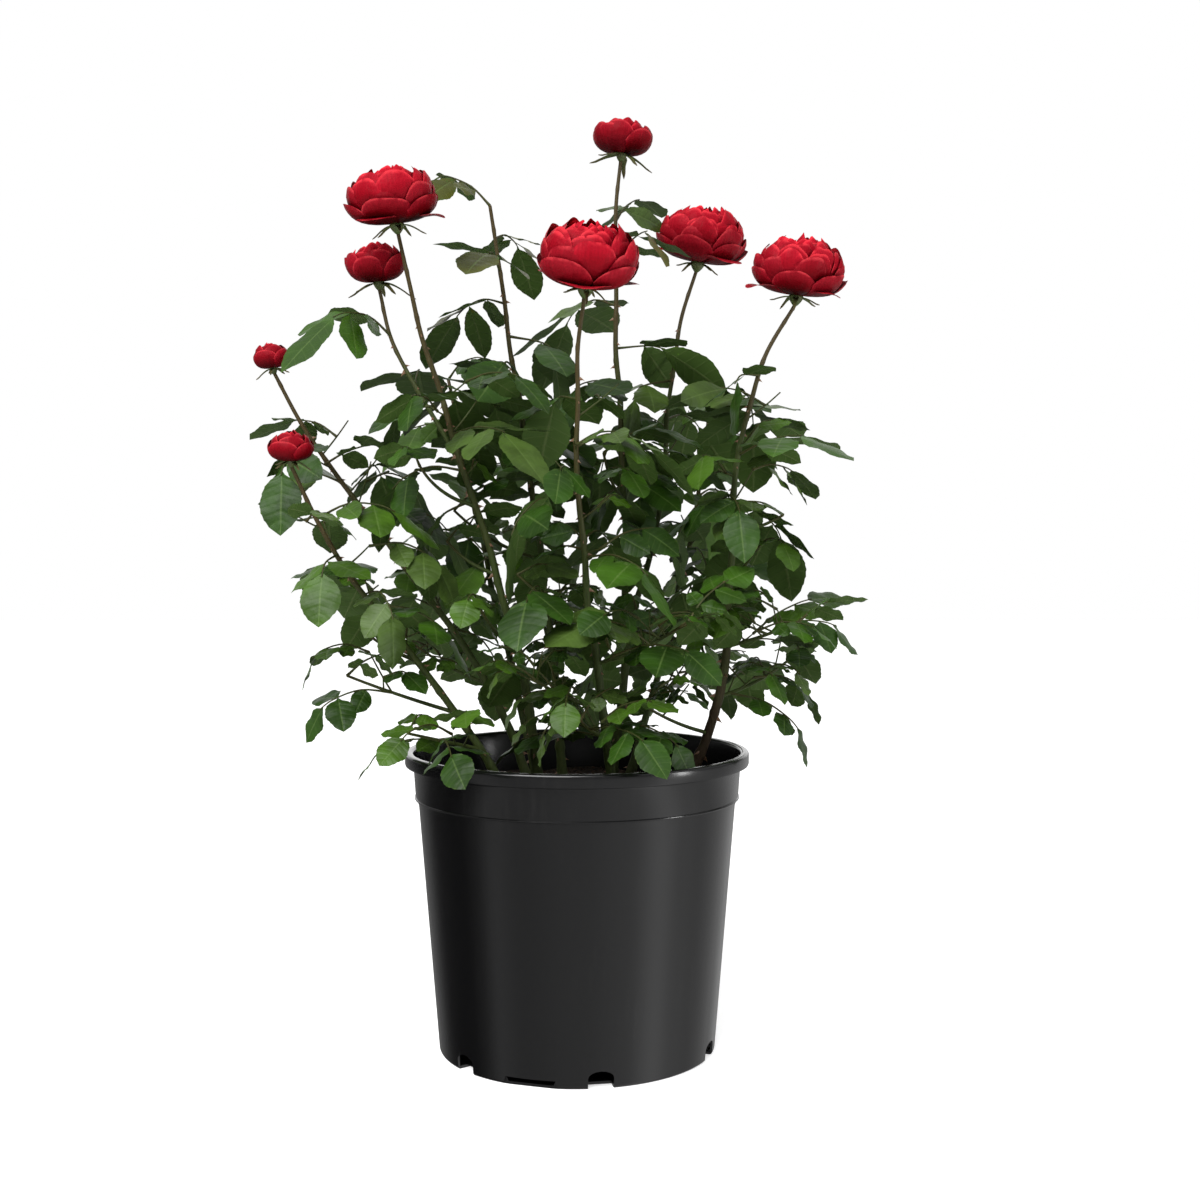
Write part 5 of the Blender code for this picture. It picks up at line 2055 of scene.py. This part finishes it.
@dataclass
class Leafage:
    """All leaf blades, grouped by side of the bush, their greens dealt out leaf by leaf."""

    growth: Growth
    shape: BladeShape = field(default_factory=BladeShape)
    sides: tuple[str, ...] = ("right", "back", "left", "front")
    outer_r: float = 0.150
    fresh_share: float = 0.24
    young_share: float = 0.06
    # Share of the greyer green, which is painted sheen; more of it is dealt out on the high right.
    grey_sheen_share: float = 0.20
    deep_share: float = 0.24
    # Extra shares of the deep green inside the bush and below the skirt height: painted shade.
    inner_painted_shade: float = 0.35
    bronze_share: float = 0.55
    bronze_from: float = 0.60
    skirt_top: float = 0.36
    skirt_painted_shade: float = 0.22
    slim_from: float = 0.38
    slim_over: float = 0.20
    blunt: tuple[float, float, float] = (0.62, 0.26, 0.04)
    broad: tuple[float, float, float] = (1.14, -0.36, 0.05)
    long_varies: float = 0.03

    def tone_of(self, leaf: Leaf, fine: bool, rng: random.Random) -> int:
        """Which green a leaf gets: fresher when young, fresher outside and low on the left as painted light,
        deeper inside the bush and low down as painted shade, greyer on the high right as painted sheen.

        Args:
            leaf: The leaf.
            fine: Whether it is a young leaf of a fine twig.
            rng: The draw.

        Returns:
            The number of its green.
        """
        tip = leaf.stalk[-1]
        outside = min(1.0, math.hypot(tip.x, tip.y) / self.outer_r)
        lit_low_left = tip.x < -0.07 and tip.z < 0.46
        sheen_high_right = tip.x > 0.05 and tip.z > 0.40
        # Painted light: outer leaves and leaves low on the left get more fresh green; young fine-twig leaves
        # get more as their own tone.
        fresh_and_lit = self.fresh_share * (0.3 + 0.9 * outside ** 2 + (0.9 if lit_low_left else 0.0))
        fresh_and_lit += self.young_share if fine else 0.0
        # Painted shade: deeper greens inside the bush and on low leaves, on top of a random share of deep
        # green.
        deep_and_shaded = self.deep_share + self.inner_painted_shade * (1.0 - outside)
        if tip.z < self.skirt_top and not lit_low_left:
            deep_and_shaded += self.skirt_painted_shade
            fresh_and_lit *= 1.0 - self.skirt_painted_shade
        # Painted sheen: the greyer green is dealt out more on the high right of the bush.
        shares = {Green.BRONZE: self.bronze_share if tip.z > self.bronze_from else 0.0, Green.FRESH: fresh_and_lit,
                  Green.GREY: self.grey_sheen_share * (1.6 if sheen_high_right else 0.8), Green.DEEP: deep_and_shaded}
        draw = rng.uniform(0.0, 1.0)
        tones = list(Green)
        for tone, share in shares.items():
            if draw < share:
                return tones.index(tone)
            draw -= share
        return tones.index(Green.FULL)

    def side_of(self, name: str) -> str:
        """On which side of the bush a mass lies.

        Args:
            name: Name of the mass.

        Returns:
            Name of the side.
        """
        low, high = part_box(name)
        middle = (low + high) * 0.5
        turn = math.degrees(math.atan2(middle.y, middle.x))
        return self.sides[round(turn / 90.0) % len(self.sides)]

    def build(self, seed: int) -> None:
        """Make one piece of blades for each side; high blades are shorter in the foot and slimmer.

        Args:
            seed: Seed of the greens and ripples.
        """
        finishes = [LeafFinish(tone).build() for tone in Green] + [UndersideFinish().build()]
        rng = np.random.default_rng(seed)
        deal = random.Random(seed)
        for side in self.sides:
            names = [name for name in self.growth.masses if self.side_of(name) == side]
            blades: list[list[Leaflet]] = [[] for _ in Green]
            for name in names:
                mass = self.growth.masses[name]
                for i, leaf in enumerate(mass.leaves + mass.fine):
                    blades[self.tone_of(leaf, i >= len(mass.leaves), deal)].extend(leaf.leaflets)
            shell = Shell()
            for tone, group in enumerate(blades):
                if group:
                    height = np.array([blade.root.z for blade in group])
                    upper = np.clip((height - self.slim_from) / self.slim_over, 0.0, 1.0)
                    blunt, broad = (low + gain * upper + rng.normal(0.0, varies, len(group))
                                    for low, gain, varies in (self.blunt, self.broad))
                    long = np.interp(height, SIZE_AT, SIZE_SHARE)
                    long = long + rng.normal(0.0, self.long_varies, len(group))
                    self.shape.lay(shell, group, blunt, broad, long, tone, len(Green), rng)
            dress(shell.make(f"leaves_{side}", finishes, 70.0), names)


@dataclass
class Blossom:
    """The flower heads: whorls of thin petals on a green hip with five sepals."""

    growth: Growth
    petal_rows: int = 10
    petal_columns: int = 13
    petal_thick: float = 0.00035
    claw_r: float = 0.10
    claw_height: float = 0.02
    round_rim: float = 0.26
    round_least: float = 0.10
    overlap: float = 0.045
    cup: float = 0.07
    sepals: int = 5
    sepal_rows: int = 9
    sepal_columns: int = 5
    sepal_thick: float = 0.0005
    sepal_width: float = 0.32
    sepal_drop: float = 0.45
    stem_r: float = 0.0017
    sides: int = 14

    def petals(self, tier: Tier, bloom: Bloom, turn: float, rng: np.random.Generator) -> Array:
        """Petals of one whorl about +Z, as grids in metres.

        At share t from claw to rim the radius is (1-t)^2 claw + 2t(1-t) bulge reach + t^2 reach
        and the height follows the same law. u runs across: the petal hollows by cup u^2, one
        of its sides lies outside the next petal, and t falls off towards the rim's round corners.

        Args:
            tier: The whorl.
            bloom: The bloom's row.
            turn: Where the first petal stands.
            rng: The draws.

        Returns:
            Grids of points: petal, row, column, xyz.
        """
        n = tier.petals
        v = np.linspace(0.0, 1.0, self.petal_rows)[None, :, None]
        u = np.linspace(-1.0, 1.0, self.petal_columns)[None, None, :]
        each = (n, 1, 1)
        phase = rng.uniform(0, 2 * np.pi, (4, *each))
        t = v * (1.0 - (self.round_least + self.round_rim * tier.reach) * np.abs(u) ** 2.6)
        reach = tier.reach * (1.0 + rng.uniform(-0.06, 0.02, each))
        rise = tier.height + rng.normal(0.0, 0.03, each)
        radius = ((1 - t) ** 2 * self.claw_r + 2 * t * (1 - t) * tier.bulge * reach + t ** 2 * reach)
        height = ((1 - t) ** 2 * self.claw_height + 2 * t * (1 - t) * tier.low + t ** 2 * rise)
        late = np.clip((t - 0.70) / 0.30, 0.0, 1.0) ** 2
        radius = radius + late * tier.roll + (self.overlap * u - self.cup * u ** 2) * t * tier.reach
        height = height - late * abs(tier.roll) * 0.7
        crinkle = 0.75 * t ** 3 * tier.frill
        radius = radius + crinkle * (np.sin(3.0 * u + phase[1]) + 0.40 * np.sin(6.5 * u + phase[2]))
        height = height + crinkle * (np.cos(3.6 * u + phase[3]) + 0.35 * np.cos(6.8 * u + phase[0]))
        half = np.radians(tier.half_deg) * (0.66 + 0.34 * t) * (1.0 + rng.uniform(-0.08, 0.10, each))
        angle = turn + circle(n).reshape(each) + rng.normal(0.0, 0.10, each) + u * half
        flat = np.maximum(radius, 0.01) * bloom.width * 0.5
        return np.stack([flat * np.cos(angle), flat * np.sin(angle), height * bloom.height], -1)

    def seated(self, points: Array, seat: Vector, axis: Vector) -> Array:
        """Points about +Z carried to a bloom's seat and axis."""
        across, over = square_frame(axis, Vector((0.0, 1.0, 0.0)))
        return points @ as_rows([across, over, axis]) + np.array(tuple(seat))

    def build(self) -> None:
        """Make every bloom's petals, and one piece of all hips and sepals."""
        finishes = [PetalFinish(tone).build() for tone in Red]
        tones = list(Red)
        v = np.linspace(0.0, 1.0, self.petal_rows)[:, None]
        u = np.linspace(0.0, 1.0, self.petal_columns)[None, :]
        places = np.stack(np.broadcast_arrays(u, v), -1)
        green = Shell()
        for bloom in BLOOMS:
            rng = np.random.default_rng(bloom.seed)
            seat, axis = self.growth.seats[bloom.name]
            shell = Shell()
            turn = rng.uniform(0.0, 2 * np.pi)
            for tier in bloom.form.value:
                grids = self.seated(self.petals(tier, bloom, turn, rng), seat, axis)
                sheet(shell, grids, self.petal_thick, places, rng.uniform(0.0, 1.0, tier.petals),
                      tones.index(tier.tone))
                turn += np.pi / tier.petals + rng.uniform(-0.2, 0.2)
            dress(shell.make(f"petals_{bloom.name}", finishes, 75.0), [bloom.name])
            self.hip(green, bloom, seat, axis, rng)
        dress(green.make("hips_and_sepals", [SEPAL.build()], 60.0), [])

    def hip(self, shell: Shell, bloom: Bloom, seat: Vector, axis: Vector, rng: np.random.Generator) -> None:
        """A hip under a bloom and its five sepals, bent down.

        Args:
            shell: Where they go.
            bloom: The bloom's row.
            seat: Where the bloom sits.
            axis: Its axis.
            rng: The draws.
        """
        wide = HIP_SHARE * bloom.width + HIP_R
        share = np.linspace(0.0, 1.0, 9)
        girth = self.stem_r + (wide - self.stem_r) * np.sin(np.pi * 0.5 * share ** 0.8) ** 1.2
        girth[-1] *= 0.80
        below = (share - 1.0) * (hip_length(bloom) + 0.002) + 0.001
        path = np.array(tuple(seat)) + np.array(tuple(axis)) * below[:, None]
        sweep(shell, path, girth, self.sides, 0.15 + 0.2 * share)
        v = np.linspace(0.0, 1.0, self.sepal_rows)[None, :, None]
        u = np.linspace(-1.0, 1.0, self.sepal_columns)[None, None, :]
        spin = circle(self.sepals) + rng.uniform(0, 1.2) + rng.normal(0, 0.1, self.sepals)
        length = bloom.sepal * rng.uniform(0.85, 1.12, self.sepals)
        drop = self.sepal_drop * rng.uniform(0.6, 1.5, self.sepals)
        spin, length, drop = (row[:, None, None] for row in (spin, length, drop))
        half = 0.5 * self.sepal_width * bloom.sepal * (1 - v) ** 0.7 * (0.55 + 1.8 * v * (1 - v))
        half = half * (1 + 0.25 * np.sin(9 * v))
        out = wide * 0.85 + length * v * (1 - 0.10 * v)
        lift = -0.0008 - length * drop * v ** 1.5 + 0.0006 * u ** 2 + 0.25 * length * np.clip(v - 0.75, 0, 1)
        x = out * np.cos(spin) - u * half * np.sin(spin)
        y = out * np.sin(spin) + u * half * np.cos(spin)
        grids = self.seated(np.stack(np.broadcast_arrays(x, y, lift), -1), seat, axis)
        sheet(shell, grids, self.sepal_thick, np.stack(np.broadcast_arrays((u[0] + 1) / 2, v[0]), -1))
        shell.ages[-1] = np.clip(shell.places[-1][:, 1] * 0.9 + 0.05, 0, 1)


@dataclass(frozen=True)
class Lamp:
    """One soft rectangular light: its place, what it shines at, its size and its power in watts."""

    name: str
    place: Colour
    aim: Colour
    size: tuple[float, float]
    power: float

    def build(self) -> None:
        """Hang the light."""
        light = bpy.data.lights.new(self.name, "AREA")
        light.shape = "RECTANGLE"
        light.size, light.size_y = self.size
        light.energy = self.power
        made = bpy.data.objects.new(self.name, light)
        made.location = self.place
        made.rotation_euler = (Vector(self.aim) - Vector(self.place)).to_track_quat("-Z", "Y").to_euler()
        bpy.context.scene.collection.objects.link(made)


@dataclass
class Studio:
    """Floor, lights, white surroundings and the camera."""

    lamps: tuple[Lamp, ...] = (
        Lamp("key_light", (-0.9, -1.7, 2.2), (0.0, 0.0, 0.45), (2.1, 1.7), 94.0),
        Lamp("side_light", (1.5, -0.55, 0.45), (0.0, 0.0, 0.20), (0.22, 0.7), 7.0))
    floor_half: float = 6.0
    white: Colour = (1.0, 1.0, 1.0)
    floor_colour: Colour = (0.80, 0.80, 0.80)
    floor_glow: float = 0.58
    around_low: float = 0.12
    around_high: float = 0.68
    left_share: float = 0.85
    back_gain: float = 1.30
    panel_gain: float = 1.4
    panels: tuple[tuple[float, float], ...] = (
        (-180.0, 0.20), (-150.0, 0.14), (-122.0, 0.03), (-95.0, 0.01), (-82.0, 0.08), (-66.0, 0.36),
        (-45.0, 0.26), (0.0, 0.36), (42.0, 0.50), (67.0, 0.95), (88.0, 0.52), (108.0, 0.34),
        (150.0, 0.40), (180.0, 0.20))
    eye: Colour = (0.0187, -1.351, 0.428)
    down_deg: float = 2.62
    lens_mm: float = 49.8
    sensor_mm: float = 36.0

    def floor(self) -> None:
        """A wide pale floor under the pot."""
        shell = Shell()
        half = self.floor_half
        shell.add(np.array([[-half, -half, 0.0], [half, -half, 0.0], [half, half, 0.0], [-half, half, 0.0]]),
                  [np.arange(4)[None]])
        bench = Bench("studio_floor", 0.9, Specular_IOR_Level=0.1, Emission_Color=self.white,
                      Emission_Strength=self.floor_glow)
        made = shell.make("studio_floor", [bench.finish(self.floor_colour)], 30.0)
        made.visible_glossy = False

    def surroundings(self) -> None:
        """White to look at, and as a light brighter from above and behind, darker on the left.

        Below the horizon only reflections see it: there it is a ring of panels round the pot.
        """
        world = bpy.data.worlds.new("studio")
        world.use_nodes = True
        world.node_tree.nodes.clear()
        tree = Nodes(world.node_tree)
        towards = tree.node("ShaderNodeTexCoord").outputs["Generated"]
        x, y, z = (Wire(tree, socket) for socket in
                   tree.node("ShaderNodeSeparateXYZ", None, {0: towards}).outputs)
        upper = (z.step(-0.05, 0.75, self.around_low, self.around_high, "LINEAR")
                 * x.step(-0.35, -0.75, 1.0, self.left_share, "LINEAR")
                 + y.step(0.74, 0.98, 0.0, self.back_gain, "LINEAR"))
        bearing = x.math("ARCTAN2", x, y * -1.0) / math.tau + 0.5
        stops = [(degrees / 360.0 + 0.5, level) for degrees, level in self.panels]
        ring = Wire(tree, tree.node("ShaderNodeValToRGB", {"stops": stops}, {0: bearing}).outputs[0])
        level = tree.node("ShaderNodeMix", None, {0: z.math("LESS_THAN", z), 2: upper,
                                                  3: ring * self.panel_gain}).outputs[0]
        light, seen = (tree.node("ShaderNodeBackground", None, {"Color": self.white, "Strength": strength})
                       for strength in (level, 1.0))
        ray = tree.node("ShaderNodeLightPath").outputs["Is Camera Ray"]
        mix = tree.node("ShaderNodeMixShader", None, {0: ray, 1: light.outputs[0], 2: seen.outputs[0]})
        tree.node("ShaderNodeOutputWorld", None, {0: mix.outputs[0]})
        bpy.context.scene.world = world

    def camera(self) -> None:
        """The camera, a little right of the pot's axis and looking slightly down."""
        data = bpy.data.cameras.new("camera")
        data.lens = self.lens_mm
        data.sensor_width = self.sensor_mm
        made = bpy.data.objects.new("camera", data)
        made.location = self.eye
        made.rotation_euler = (math.radians(90.0 - self.down_deg), 0.0, 0.0)
        bpy.context.scene.collection.objects.link(made)
        bpy.context.scene.camera = made

    def build(self) -> None:
        """Set the studio up."""
        self.floor()
        self.surroundings()
        for lamp in self.lamps:
            lamp.build()
        self.camera()
        bpy.context.scene.view_settings.view_transform = "Standard"


def main() -> None:
    """Dress the part."""
    logging.basicConfig(level=logging.INFO, format="%(message)s")
    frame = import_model()
    growth = Growth(frame)
    growth.set_out()
    growth.leaf_out()
    leaves = sum(len(mass.leaves) + len(mass.fine) for mass in growth.masses.values())
    LOG.info("growth: %d leaves", leaves)
    Studio().build()
    NurseryPot.from_frame().build()
    PottingMix.from_frame().build(np.random.default_rng(CRUMB_DRAW))
    CaneWork(growth).build(np.random.default_rng(BARK_DRAW))
    Leafage(growth).build(LEAF_DRAW)
    Blossom(growth).build()


if __name__ == "__main__":
    main()
